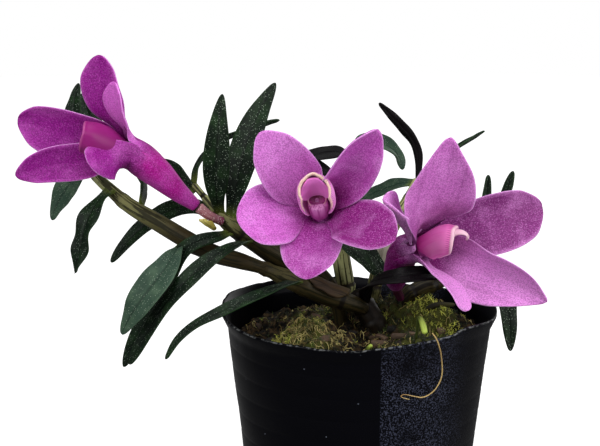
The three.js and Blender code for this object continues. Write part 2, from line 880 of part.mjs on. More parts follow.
function bloomPieces(name, bloom, rooms) {
  const axes = flowerAxes(bloom);
  const throat = vec(bloom.throat);
  const spur = stem({ path: bloom.spur, radii: bloom.spurRadii, sides: 10 });
  const tepals = joined([spur, ...bloom.tepals.map((t) => tepalSolid(bloom, t))]);

  const lipSide = radial(axes, bloom.lipAngle);
  const at = (radius, rise) =>
    throat.clone().addScaledVector(lipSide, radius).addScaledVector(axes.forward, rise).toArray();
  const start = LIP.start;
  const lift = bloom.lipRise;
  const lip = lipSolid(bloom);
  const lipRoom = lipSolid(bloom, GAP);

  const post = {
    path: [at(0, start), at(0.6, start + COLUMN.length / 2), at(0.8 + lift / 2, start + COLUMN.length)],
    radii: [COLUMN.radius, COLUMN.radius, COLUMN.radius * 0.8],
  };
  const column = stem(post);
  const pedicel = stem({ path: bloom.pedicel, radii: [1.45, 1.25, 1.2], sides: 8 });
  const spurRoom = stem({ path: bloom.spur, radii: bloom.spurRadii, sides: 10 }, GAP);
  return [
    [`${name}_tepals`, without(tepals, [lipRoom, stem(post, GAP), ...rooms]), FINISH.tepal],
    [`${name}_lip`, lip, FINISH.lip],
    [`${name}_column`, column, FINISH.column],
    [`${name}_pedicel`, without(pedicel, [spurRoom, ...rooms]), FINISH.pedicel],
  ];
}

// ------------------------------------------------------------------ dry sheaths and roots

// A sheath is a blade curled round a stem: its midrib lies on one side and its margins meet on the other.
const SHEATHS = {
  sheath_base: {
    path: [[-13.8, -8.4, 80.2], [-8, -7.4, 77.1], [-2.5, -6.2, 74.8]],
    width: 9,
    shape: [0.5, 0.85, 1, 0.95, 0.6],
    face: [0.35, 0.1, -1],
    roll: [65, 75, 75],
  },
  sheath_grey: {
    path: [[5.6, 8.6, 76], [7.2, 9.8, 81], [9.6, 12, 86.6]],
    width: 9,
    shape: [0.9, 1, 0.95, 0.8, 0.45],
    face: [-0.3, 1, -0.35],
    roll: [85, 90, 95],
  },
  bract_flower: {
    path: [[-38.8, -12.6, 92.9], [-40.3, -13.8, 94.2], [-42.4, -14.8, 96]],
    width: 4.4,
    shape: [0.5, 0.9, 1, 0.8, 0.3],
    face: [0.6, 0.5, 0.5],
    roll: [50, 60, 60],
  },
};

const ROOTS = {
  root_green: {
    path: [[14, -22, 61], [14.2, -25, 69], [14.5, -27.6, 73], [15.1, -30, 72.2], [15.7, -31.6, 69.8]],
    radii: [1.0, 1.0, 0.95, 0.9, 0.7],
    material: FINISH.root,
  },
  root_tip_front: {
    path: [[0.8, -27, 59], [1.2, -30, 65], [1.9, -33.2, 67.4]],
    radii: [0.85, 0.8, 0.5],
    material: FINISH.root,
  },
  root_tip_back: {
    path: [[17.5, 2, 61], [18.6, 1, 67], [21.2, 0, 68.9], [26.4, -1, 69.3]],
    radii: [0.95, 0.95, 0.95, 0.65],
    material: FINISH.root,
  },
};

/** The thin dry root that hangs over the rim and lies on the outside of the pot. */
function rootThread() {
  const offWall = (angle, z, lift) => {
    const a = degrees(angle);
    const shoulder = POT.height - POT.shoulderDrop;
    const r = (z > shoulder ? POT.rimRadius : wallRadius(z)) + rimPress(a) * (z / POT.height) + lift;
    return [r * Math.cos(a), r * Math.sin(a), z];
  };
  return stem({
    path: [
      offWall(-62.3, 70.6, -0.1),
      offWall(-61.6, 69.6, 0.8),
      offWall(-60.2, 67.6, 0.9),
      offWall(-57.4, 63.2, 1.5),
      offWall(-56.2, 57.6, 1.1),
      offWall(-59.3, 54.2, 0.8),
      offWall(-64.2, 53.1, 0.8),
      offWall(-68.3, 53.7, 0.8),
      offWall(-73.1, 54.5, 0.8),
    ],
    radii: [0.35, 0.35, 0.35],
    sides: 6,
    perSpan: 2,
  });
}

// ------------------------------------------------------------------ assembly

const group = new THREE.Group();
const add = (name, solid, material) => group.add(meshOf(name, solid, material));

const caneNames = Object.keys(CANES);
const caneRooms = caneNames.map((name) => stem(CANES[name], GAP));
caneNames.forEach((name, i) => {
  const solid = without(stem(CANES[name]), caneRooms.slice(0, i));
  add(name, solid, CANES[name].old ? FINISH.oldCane : FINISH.cane);
});

const rootRooms = Object.values(ROOTS).map((root) => stem(root, GAP));
add("pot", potSolid(), FINISH.pot);
add("bark_and_moss", mediumSolid([...caneRooms, ...rootRooms]), FINISH.medium);

// Where leaves share a node, the later one is trimmed clear of the earlier.
const leafRooms = [...caneRooms];
for (const [name, leaf] of Object.entries(LEAVES)) {
  add(name, without(blade(leaf), leafRooms), FINISH.leaf);
  leafRooms.push(
    blade({ ...leaf, width: leaf.width + 2 * GAP, thickness: LEAF_THICKNESS + 2 * GAP }),
  );
}

for (const [name, bloom] of Object.entries(BLOOMS))
  for (const piece of bloomPieces(name, bloom, caneRooms)) add(...piece);

for (const [name, sheath] of Object.entries(SHEATHS))
  add(name, without(blade({ ...sheath, across: 4, steps: 6 }), caneRooms), FINISH.sheath);

for (const [name, root] of Object.entries(ROOTS)) add(name, stem(root), root.material);
add("root_thread", rootThread(), FINISH.rootHair);

export default group;
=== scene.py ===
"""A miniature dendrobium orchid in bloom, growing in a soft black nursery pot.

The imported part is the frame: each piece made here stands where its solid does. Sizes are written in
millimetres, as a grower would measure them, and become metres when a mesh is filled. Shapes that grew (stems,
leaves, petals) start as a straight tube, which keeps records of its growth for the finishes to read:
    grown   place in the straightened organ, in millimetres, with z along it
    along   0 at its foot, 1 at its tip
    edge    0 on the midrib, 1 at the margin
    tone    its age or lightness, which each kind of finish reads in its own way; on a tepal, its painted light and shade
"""

import logging
import math
import random
from collections.abc import Callable, Sequence
from dataclasses import dataclass, field
from enum import Enum

import bmesh
import bpy
import numpy as np
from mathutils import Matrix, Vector, noise


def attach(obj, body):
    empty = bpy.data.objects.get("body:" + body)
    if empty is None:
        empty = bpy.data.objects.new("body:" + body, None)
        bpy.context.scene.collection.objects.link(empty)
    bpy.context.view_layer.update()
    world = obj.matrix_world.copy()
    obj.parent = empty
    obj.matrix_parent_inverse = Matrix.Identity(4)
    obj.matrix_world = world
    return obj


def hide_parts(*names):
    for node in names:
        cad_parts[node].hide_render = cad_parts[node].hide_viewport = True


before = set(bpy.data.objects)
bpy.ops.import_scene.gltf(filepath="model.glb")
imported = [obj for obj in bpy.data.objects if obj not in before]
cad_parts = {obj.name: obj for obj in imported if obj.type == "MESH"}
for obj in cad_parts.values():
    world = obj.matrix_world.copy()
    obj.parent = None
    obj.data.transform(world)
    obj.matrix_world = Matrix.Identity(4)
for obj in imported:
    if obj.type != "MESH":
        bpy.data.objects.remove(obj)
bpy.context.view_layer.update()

LOG = logging.getLogger("orchid")
MM = 0.001
BODY = "root"

Point = tuple[float, float, float]
Array = np.ndarray
Piece = bpy.types.Object
Node = bpy.types.Node
Tree = bpy.types.NodeTree
Socket = bpy.types.NodeSocket


# ---------------------------------------------------------------- numbers and curves


def eased(values: Sequence[float], share: Array) -> Array:
    """Reads evenly spaced values as one smooth curve.

    Args:
        values: the values, from the foot to the tip.
        share: where to read, 0 to 1.

    Returns:
        The value at each share.
    """
    v = np.asarray(values, float)
    padded = np.concatenate(([2 * v[0] - v[1]], v, [2 * v[-1] - v[-2]]))
    x = np.clip(share, 0, 1) * (len(v) - 1)
    i = np.minimum(x.astype(int), len(v) - 2)
    w = x - i
    a, b, c, d = (padded[i + k] for k in range(4))
    return b + 0.5 * w * (c - a + w * (2 * a - 5 * b + 4 * c - d + w * (3 * (b - c) + d - a)))


def step(x: Array, low: float, high: float) -> Array:
    """Smooth step from 0 at low to 1 at high."""
    t = np.clip((x - low) / (high - low), 0, 1)
    return t * t * (3 - 2 * t)


def unit(v: Array) -> Array:
    """Vectors made one long."""
    return v / np.maximum(np.linalg.norm(v, axis=-1, keepdims=True), 1e-9)


def turned(v: Array, axis: Array, angle: Array) -> Array:
    """Vectors turned about unit axes they stand square to, by angles in radians."""
    return v * np.cos(angle)[:, None] + np.cross(axis, v) * np.sin(angle)[:, None]


def squared(v: Array, axis: Array) -> Array:
    """Vectors made square to unit axes, and one long."""
    return unit(v - axis * np.sum(v * axis, axis=1)[:, None])


def bell(x: Array, middle: float, width: float) -> Array:
    """A hump, 1 high in the middle and nearly gone at twice its width from there."""
    return np.exp(-(((x - middle) / width) ** 2))


def dome(x: Array, y: Array, cx: float, cy: float, square: float) -> Array:
    """A round hump, 1 high over its centre, whose radius has that square."""
    return np.exp(-((x - cx) ** 2 + (y - cy) ** 2) / square)


def spin(angle: float, axis: int) -> Array:
    """The matrix that turns points by an angle in radians about an axis, 0 for x and 2 for z."""
    c, s = math.cos(angle), math.sin(angle)
    return np.array([[1, 0, 0], [0, c, -s], [0, s, c]] if axis == 0 else [[c, -s, 0], [s, c, 0], [0, 0, 1]])


def flattened(theta: Array, crowd: float) -> tuple[Array, Array]:
    """Presses a tube's circumference flat, with its corners crowded towards the margins.

    Args:
        theta: angles round the tube.
        crowd: how far they crowd, from 0.

    Returns:
        The places across, -1 to 1, and the side of the blade they are on, 1 above and -1 below.
    """
    a = 1 - 2 * np.abs(theta) / np.pi
    return a * (1 + crowd - crowd * a * a), np.sign(np.sin(theta) + 1e-9)


class Spine:
    """A smooth line through points. Its knots are spaced as the root of their distance, so it never loops."""

    def __init__(self, points: Sequence[Point]) -> None:
        """Works out the cubic of each span and the line's length."""
        p = np.asarray(points, float)
        ext = np.vstack([2 * p[0] - p[1], p, 2 * p[-1] - p[-2]])
        a, b, c, d = ext[:-3], ext[1:-2], ext[2:-1], ext[3:]
        k0, k1, k2 = (np.sqrt(np.linalg.norm(q - r, axis=1))[:, None] for q, r in ((b, a), (c, b), (d, c)))
        m1 = ((b - a) / k0 - (c - a) / (k0 + k1) + (c - b) / k1) * k1
        m2 = ((c - b) / k1 - (d - b) / (k1 + k2) + (d - c) / k2) * k1
        self.cubics = np.stack([b, m1, 3 * (c - b) - 2 * m1 - m2, 2 * (b - c) + m1 + m2])
        self.spans = len(p) - 1
        fine = np.linspace(0, 1, 600)
        steps = np.linalg.norm(np.diff(self.at(fine)[0], axis=0), axis=1)
        self.lengths = np.concatenate(([0], np.cumsum(steps)))
        self.fine = fine
        self.length = float(self.lengths[-1])

    def at(self, t: Array) -> tuple[Array, Array]:
        """Places and directions at shares t of the knots."""
        x = np.clip(t, 0, 1) * self.spans
        i = np.minimum(x.astype(int), self.spans - 1)
        w = (x - i)[:, None]
        c = self.cubics[:, i]
        return c[0] + w * (c[1] + w * (c[2] + w * c[3])), unit(c[1] + w * (2 * c[2] + 3 * w * c[3]))

    def even(self, u: Array) -> tuple[Array, Array]:
        """Places and directions at shares u of the length."""
        return self.at(np.interp(np.asarray(u) * self.length, self.lengths, self.fine))

    def frames(self, t: Array) -> tuple[Array, Array, Array]:
        """Places at shares t of the knots, and two cross axes, which turn as little as the line allows."""
        place, tangent = self.at(t)
        first = np.array([1.0, 0, 0]) if abs(tangent[0][0]) < 0.7 else np.array([0, 1.0, 0])
        across = np.cross(tangent[0], first)
        axes = []
        for direction in tangent:
            across = unit(across - direction * (across @ direction))
            axes.append(across)
        return place, np.array(axes), np.cross(tangent, np.array(axes))


# ---------------------------------------------------------------- finishes


def linear(code: str) -> tuple[float, float, float, float]:
    """Turns an sRGB colour such as "#8E1F86" into the linear colour that a shader takes."""
    parts = [int(code[i : i + 2], 16) / 255 for i in (1, 3, 5)]
    red, green, blue = (c / 12.92 if c <= 0.04045 else ((c + 0.055) / 1.055) ** 2.4 for c in parts)
    return red, green, blue, 1.0


def add(tree: Tree, kind: str, inputs: dict | None = None, stops: Sequence = (), **settings: object) -> Node:
    """Adds one node to a material.

    Args:
        tree: the material's tree.
        kind: the node's type, without the leading "ShaderNode".
        inputs: values or other nodes' outputs, by socket name or number. A string is a colour code.
        stops: colour stops of a ramp, as (place, colour code), with both ends first.
        settings: properties of the node.

    Returns:
        The node.
    """
    node = tree.nodes.new("ShaderNode" + kind)
    for key, value in settings.items():
        setattr(node, key, value)
    for key, value in (inputs or {}).items():
        socket = node.inputs[key]
        if isinstance(value, bpy.types.NodeSocket):
            tree.links.new(value, socket)
        else:
            socket.default_value = linear(value) if isinstance(value, str) else value
    for i, (place, code) in enumerate(stops):
        elements = node.color_ramp.elements
        element = elements[i] if i < 2 else elements.new(place)
        element.position, element.color = place, linear(code)
    return node


def blend(tree: Tree, under: object, over: object, *shares: object, mode: str = "MIX") -> Socket:
    """One colour laid over another.

    Args:
        tree: the material's tree.
        under: colour code or output below.
        over: colour code or output above.
        shares: how much of the upper one shows, as numbers or outputs, which multiply.
        mode: how they mix.

    Returns:
        The mixed colour's output.
    """
    share = shares[0]
    for factor in shares[1:]:
        share = add(tree, "Math", {0: share, 1: factor}, operation="MULTIPLY").outputs[0]
    return add(tree, "Mix", {0: share, 6: under, 7: over}, data_type="RGBA", blend_type=mode).outputs[2]


def reach(tree: Tree, value: object, low: float, high: float, top: float = 1.0) -> Socket:
    """An output that eases from 0 at low to top at high of another."""
    made = add(tree, "MapRange", {0: value, 1: low, 2: high, 3: 0.0, 4: top}, interpolation_type="SMOOTHSTEP")
    return made.outputs[0]


class Record(Enum):
    """What a grown piece keeps of its growth."""

    GROWN = "grown"
    ALONG = "along"
    EDGE = "edge"
    TONE = "tone"


@dataclass(frozen=True)
class Finish:
    """What a surface is made of. Each kind says how it looks in its own surface method."""

    name: str

    def record(self, tree: Tree, kind: Record) -> Socket:
        """The output of one of the piece's records."""
        node = add(tree, "Attribute", attribute_name=kind.value)
        return node.outputs["Vector" if kind is Record.GROWN else "Fac"]

    def grain(self, tree: Tree, across: float, lengthwise: float, detail: float = 3.0) -> Socket:
        """Noise whose grains measure so many millimetres across and along the organ."""
        finer = {0: self.record(tree, Record.GROWN), 1: (1 / across, 1 / across, 1 / lengthwise)}
        place = add(tree, "VectorMath", finer, operation="MULTIPLY").outputs[0]
        return add(tree, "TexNoise", {"Vector": place, "Scale": 1.0, "Detail": detail}).outputs[0]

    def cloud(self, tree: Tree, size: float, detail: float = 3.0) -> Socket:
        """Noise in space, with clouds so many millimetres across."""
        place = add(tree, "TexCoord").outputs["Object"]
        return add(tree, "TexNoise", {"Vector": place, "Scale": 1 / (size * MM), "Detail": detail}).outputs[0]

    def spots(self, tree: Tree, size: float, outer: float, inner: float) -> tuple[Socket, Sequence[Socket]]:
        """Round spots in space.

        Args:
            tree: the material's tree.
            size: width of the cell round each spot, in millimetres.
            outer: where a spot begins, as a share of its cell.
            inner: where it is full.

        Returns:
            The spots' output, and the outputs of three random numbers for each cell.
        """
        place = add(tree, "TexCoord").outputs["Object"]
        cell = add(tree, "TexVoronoi", {"Vector": place, "Scale": 1 / (size * MM)}).outputs
        chances = add(tree, "SeparateColor", {0: cell["Color"]}).outputs
        return reach(tree, cell["Distance"], outer, inner), chances

    def bump(self, tree: Tree, height: object, depth: float, strength: float = 1.0) -> Socket:
        """Relief so many millimetres deep, as a normal."""
        return add(tree, "Bump", {"Height": height, "Distance": depth * MM, "Strength": strength}).outputs[0]

    def surface(self, tree: Tree) -> dict[str, object]:
        """What the shader's inputs are set or linked to, which each kind of finish says."""
        raise NotImplementedError

    def material(self) -> bpy.types.Material:
        """The finish as a material, made once."""
        made = bpy.data.materials.get(self.name)
        if made is None:
            made = bpy.data.materials.new(self.name)
            made.use_nodes = True
            tree = made.node_tree
            tree.nodes.clear()
            shader = add(tree, "BsdfPrincipled", self.surface(tree))
            add(tree, "OutputMaterial", {"Surface": shader.outputs[0]})
        return made


@dataclass(frozen=True)
class PetalFinish(Finish):
    """Floral tissue: a waxy skin of raised clear cells over violet sap, which lets some light through."""

    deep: str
    body: str
    light: str
    spur: str
    painted_glint_colour: str = "#EBB4EE"
    shade: str = "#A070A0"
    painted_glints: float = 0.32

    def surface(self, tree: Tree) -> dict[str, object]:
        """Colour runs from the spur through the deep throat to the pale margins. The tone paints light and
        shade on each tepal, and pale dots and a thin pale line at the edge are painted glints.
        """
        along = self.record(tree, Record.ALONG)
        edge = self.record(tree, Record.EDGE)
        tone = self.record(tree, Record.TONE)
        place = add(tree, "MapRange", {0: along, 1: -1.0, 2: 1.0}).outputs[0]
        stops = [(0.0, self.spur), (1.0, self.body), (0.44, self.spur), (0.55, self.deep), (0.76, self.body)]
        run = add(tree, "ValToRGB", {0: place}, stops).outputs[0]
        free = reach(tree, along, 0.0, 0.3)
        # Painted light and shade: the tone makes each tepal's free part lighter above 0.5 and darker below
        # it, as light falls on it.
        run = blend(tree, run, self.light, reach(tree, tone, 0.5, 1.0, 0.9), free)
        run = blend(tree, run, self.deep, reach(tree, tone, 0.5, 0.0), free)
        veins = self.grain(tree, 1.1, 15)
        run = blend(tree, run, self.deep, reach(tree, veins, 0.45, 0.72, 0.3))
        run = blend(tree, run, self.light, reach(tree, self.cloud(tree, 6), 0.42, 0.75, 0.3))
        run = blend(tree, run, self.light, reach(tree, edge, 0.8, 1.0), reach(tree, along, 0.15, 0.5), 0.35)
        # Each clear cell is 0.1 mm across in life: drawn at 0.36 mm, so that its glints show. The glints are
        # painted: pale spots in the colour, where the cells would catch the light.
        spot, chances = self.spots(tree, 0.36, 0.55, 0.15)
        bead = add(tree, "Math", {0: spot, 1: chances[0]}, operation="MULTIPLY").outputs[0]
        fine = self.cloud(tree, 0.32, 1)
        run = blend(tree, run, self.shade, reach(tree, fine, 0.56, 0.36, 0.5), mode="MULTIPLY")
        run = blend(tree, run, self.light, reach(tree, fine, 0.54, 0.7, 0.2))
        run = blend(tree, run, self.painted_glint_colour, reach(tree, bead, 0.25, 0.95, self.painted_glints))
        # Painted highlight: a thin pale line along the edge, where the margin would catch the light.
        painted_edge_glint = reach(tree, edge, 0.965, 0.985, 0.55)
        run = blend(tree, run, self.painted_glint_colour, painted_edge_glint, reach(tree, along, 0.1, 0.3))
        relief = add(tree, "Math", {0: bead, 1: veins}, operation="ADD").outputs[0]
        return {
            "Base Color": run, "Roughness": 0.5, "IOR": 1.42, "Specular IOR Level": 0.22,
            "Subsurface Weight": 0.12, "Subsurface Radius": (1.0, 0.35, 0.9), "Subsurface Scale": 0.8 * MM,
            "Sheen Weight": 0.04, "Sheen Roughness": 0.4, "Sheen Tint": "#F4D4F6",
            "Normal": self.bump(tree, relief, 0.07, 0.7),
        }


@dataclass(frozen=True)
class LipFinish(Finish):
    """The lip: smoother than the petals, with a cream margin that short dark lines run into."""

    deep: str
    body: str
    light: str
    rim: str = "#F2D3C0"
    comb: float = 0.6
    rim_from: float = 0.72

    def surface(self, tree: Tree) -> dict[str, object]:
        """Here edge is 1 at the mouth's margin and 0 from 4 mm behind it."""
        edge = self.record(tree, Record.EDGE)
        veins = self.grain(tree, 0.8, 9)
        run = blend(tree, self.body, self.light, reach(tree, self.record(tree, Record.ALONG), 0.0, 0.55))
        run = blend(tree, run, self.body, reach(tree, veins, 0.45, 0.7, 0.4))
        stripes = {"Vector": self.record(tree, Record.GROWN), "Scale": 0.62, "Distortion": 1.2, "Detail": 1.0}
        lines = add(tree, "TexWave", stripes, bands_direction="X").outputs[1]
        zone = reach(tree, edge, 0.42, 0.66), reach(tree, edge, 0.9, 0.78)
        run = blend(tree, run, self.deep, reach(tree, lines, 0.5, 0.8, self.comb), *zone)
        run = blend(tree, run, self.rim, reach(tree, edge, self.rim_from, self.rim_from + 0.16))
        return {
            "Base Color": run, "Roughness": 0.42, "IOR": 1.42, "Specular IOR Level": 0.25,
            "Subsurface Weight": 0.2, "Subsurface Radius": (1.0, 0.5, 0.7), "Subsurface Scale": 1 * MM,
            "Normal": self.bump(tree, veins, 0.06, 0.6),
        }


@dataclass(frozen=True)
class LeafFinish(Finish):
    """A hard little evergreen leaf: dark, half glossy, and rough with pale warts."""

    blade: str = "#0F2012"
    shade: str = "#060E08"
    rib: str = "#24401F"
    foot: str = "#5F6C2B"
    wart: str = "#AFC0AC"
    warts: float = 0.5

    def surface(self, tree: Tree) -> dict[str, object]:
        """Warts crowd between rib and margin, and the foot is yellow green."""
        edge = self.record(tree, Record.EDGE)
        run = blend(tree, self.shade, self.blade, self.grain(tree, 1.4, 12))
        run = blend(tree, run, self.rib, reach(tree, self.cloud(tree, 4), 0.4, 0.75, 0.45))
        run = blend(tree, run, self.shade, reach(tree, edge, 0.13, 0.03, 0.75))
        run = blend(tree, run, self.rib, reach(tree, edge, 0.9, 1.0, 0.5))
        run = blend(tree, run, self.foot, reach(tree, self.record(tree, Record.ALONG), 0.14, 0.0, 0.85))
        spot, chances = self.spots(tree, 0.42, 0.27, 0.12)
        crowd = add(tree, "Math", {0: chances[0], 1: self.cloud(tree, 3)}, operation="MULTIPLY").outputs[0]
        kept = reach(tree, crowd, 0.08, 0.24)
        bead = add(tree, "Math", {0: spot, 1: kept}, operation="MULTIPLY").outputs[0]
        run = blend(tree, run, self.wart, bead, reach(tree, edge, 1.0, 0.82), self.warts)
        relief = add(tree, "Math", {0: bead, 1: self.grain(tree, 0.5, 6)}, operation="ADD").outputs[0]
        return {
            "Base Color": run, "Roughness": 0.48, "IOR": 1.45, "Specular IOR Level": 0.15,
            "Normal": self.bump(tree, relief, 0.09, 0.8),
        }


@dataclass(frozen=True)
class CaneFinish(Finish):
    """A jointed cane: green when young, then striped and at last brown, with a waxy skin."""

    young: str = "#DCE4A0"
    mid: str = "#8A8A58"
    old: str = "#342C17"
    stripe: str = "#1B1A0B"
    ring: str = "#120D08"

    def surface(self, tree: Tree) -> dict[str, object]:
        """Here tone is the skin's age, 0 to 1, and 2 in a joint's dark ring."""
        age = self.record(tree, Record.TONE)
        stops = [(0.0, self.young), (0.85, self.old), (0.4, self.mid)]
        run = add(tree, "ValToRGB", {0: age}, stops).outputs[0]
        streaks = self.grain(tree, 0.58, 20)
        run = blend(tree, run, self.stripe, reach(tree, streaks, 0.5, 0.56, 0.9))
        run = blend(tree, run, self.old, reach(tree, self.grain(tree, 2, 3), 0.55, 0.75, 0.3))
        run = blend(tree, run, self.stripe, reach(tree, self.cloud(tree, 1.3, 5), 0.55, 0.7, 0.5))
        run = blend(tree, run, self.ring, reach(tree, age, 1.1, 1.8))
        relief = add(tree, "Math", {0: streaks, 1: self.cloud(tree, 0.5)}, operation="ADD").outputs[0]
        return {
            "Base Color": run, "Roughness": 0.5, "IOR": 1.45, "Specular IOR Level": 0.2,
            "Normal": self.bump(tree, relief, 0.12, 0.6),
        }


@dataclass(frozen=True)
class PlasticFinish(Finish):
    """Soft black polypropylene, thin and rolled from sheet: half matt and scratched by handling. A speckled
    sheen is painted on its right front, and a highlight along the rim's edge.
    """

    resin: str = "#050509"
    painted_sheen: str = "#4C5064"
    scratch: str = "#6E7482"
    painted_rim_highlight: str = "#6A6C6C"

    def surface(self, tree: Tree) -> dict[str, object]:
        """The sheet's overlap starts 4 mm right of the middle: beyond it the skin is coarser, and a speckled
        bluish painted sheen, the right softbox's reflection, lies on it up to 19 mm and fades out by 29 mm.
        """
        place = add(tree, "TexCoord").outputs["Object"]
        x = add(tree, "SeparateXYZ", {0: place}).outputs[0]
        beyond = reach(tree, x, 4.2 * MM, 4.6 * MM)
        grit = self.cloud(tree, 0.4, 2)
        patches = reach(tree, self.cloud(tree, 13, 2), 0.15, 0.55)
        # Painted sheen: speckled patches of bluish grey right of the overlap, standing in for the right
        # softbox's reflection.
        sheen_share = reach(tree, grit, 0.47, 0.66), patches, beyond, reach(tree, x, 29 * MM, 19 * MM)
        run = blend(tree, self.resin, self.painted_sheen, *sheen_share, 0.55)
        fleck, chances = self.spots(tree, 2.6, 0.09, 0.05)
        run = blend(tree, run, self.scratch, fleck, reach(tree, chances[1], 0.8, 0.82), 0.5)
        # Painted highlight: the rim's top edge is lighter, in broken patches, as if it caught the light.
        highlight_share = reach(tree, self.cloud(tree, 1.1, 5), 0.46, 0.6)
        run = blend(tree, run, self.painted_rim_highlight, self.record(tree, Record.EDGE), highlight_share)
        rough = add(tree, "MapRange", {0: beyond, 3: 0.3, 4: 0.42}).outputs[0]
        coarse = add(tree, "MapRange", {0: beyond, 3: 0.25, 4: 1.0}).outputs[0]
        relief = add(tree, "Math", {0: grit, 1: coarse}, operation="MULTIPLY").outputs[0]
        return {
            "Base Color": run, "Roughness": rough, "IOR": 1.49, "Specular IOR Level": 0.05,
            "Normal": self.bump(tree, relief, 0.1, 0.9),
        }


@dataclass(frozen=True)
class EarthFinish(Finish):
    """Wet rotted bark under the moss: nearly black, with brown crumbs."""

    wet: str = "#0A0805"
    crumb: str = "#473722"
    green: str = "#454A1C"

    def surface(self, tree: Tree) -> dict[str, object]:
        """Crumbs of bark, with a green film on the heaps, where tone is high."""
        run = blend(tree, self.wet, self.crumb, reach(tree, self.cloud(tree, 1.6, 6), 0.42, 0.68))
        patchy = {0: self.record(tree, Record.TONE), 1: self.cloud(tree, 3)}
        film = add(tree, "Math", patchy, operation="MULTIPLY").outputs[0]
        return {
            "Base Color": blend(tree, run, self.green, reach(tree, film, 0.2, 0.5, 0.8)), "Roughness": 0.8,
            "Specular IOR Level": 0.15, "Normal": self.bump(tree, self.cloud(tree, 0.9, 6), 0.6),
        }


@dataclass(frozen=True)
class TonedFinish(Finish):
    """Many small parts of one stuff, each with its own tone from dark to light."""

    dark: str
    mid: str
    light: str
    rough: float = 0.7
    size: float = 0.8

    def surface(self, tree: Tree) -> dict[str, object]:
        """The tone runs through three colours, mottled as finely as the parts are."""
        stops = [(0.0, self.dark), (1.0, self.light), (0.5, self.mid)]
        run = add(tree, "ValToRGB", {0: self.record(tree, Record.TONE)}, stops).outputs[0]
        mottle = self.cloud(tree, self.size, 4)
        return {
            "Base Color": blend(tree, run, self.dark, reach(tree, mottle, 0.5, 0.75, 0.6)),
            "Roughness": self.rough, "Subsurface Weight": 0.05, "Subsurface Scale": 0.5 * MM,
            "Normal": self.bump(tree, mottle, 0.15, 0.6),
        }


@dataclass(frozen=True)
class StreakFinish(Finish):
    """Fibrous or papery tissue with lengthwise streaks, in some with pale flecks."""

    ground: str
    streak: str
    tip: str
    rough: float
    fleck: str = "#D8C9A0"
    flecks: float = 0.0

    def surface(self, tree: Tree) -> dict[str, object]:
        """Streaks run along the tissue, and its far end takes another colour."""
        run = blend(tree, self.ground, self.tip, reach(tree, self.record(tree, Record.ALONG), 0.45, 1.0))
        streaks = self.grain(tree, 0.45, 8, 4)
        run = blend(tree, run, self.streak, reach(tree, streaks, 0.48, 0.64, 0.8))
        dot, chances = self.spots(tree, 0.5, 0.4, 0.2)
        run = blend(tree, run, self.fleck, dot, reach(tree, chances[0], 0.35, 0.6), self.flecks)
        return {
            "Base Color": run, "Roughness": self.rough, "Specular IOR Level": 0.25,
            "Normal": self.bump(tree, streaks, 0.12, 0.8),
        }


@dataclass(frozen=True)
class PaperFinish(Finish):
    """The studio's paper floor, lit from behind: it looks white and throws little light back on the plant."""

    colour: str = "#8C8C8C"
    glow: float = 0.86

    def surface(self, tree: Tree) -> dict[str, object]:
        """Matt paper whose glow is seen but lights nothing, so that soft shadows still show on it."""
        seen = add(tree, "LightPath").outputs["Is Camera Ray"]
        place = add(tree, "TexCoord").outputs["Object"]
        away = add(tree, "VectorMath", {0: place}, operation="LENGTH").outputs["Value"]
        spread = {0: away, 1: 40 * MM, 2: 140 * MM, 3: self.glow, 4: 1.02}
        bright = add(tree, "MapRange", spread, interpolation_type="SMOOTHSTEP").outputs[0]
        glow = add(tree, "Math", {0: seen, 1: bright}, operation="MULTIPLY").outputs[0]
        return {
            "Base Color": self.colour, "Roughness": 0.9, "Emission Color": "#FFFFFF",
            "Emission Strength": glow, "Normal": self.bump(tree, self.cloud(tree, 2), 0.02, 0.2),
        }


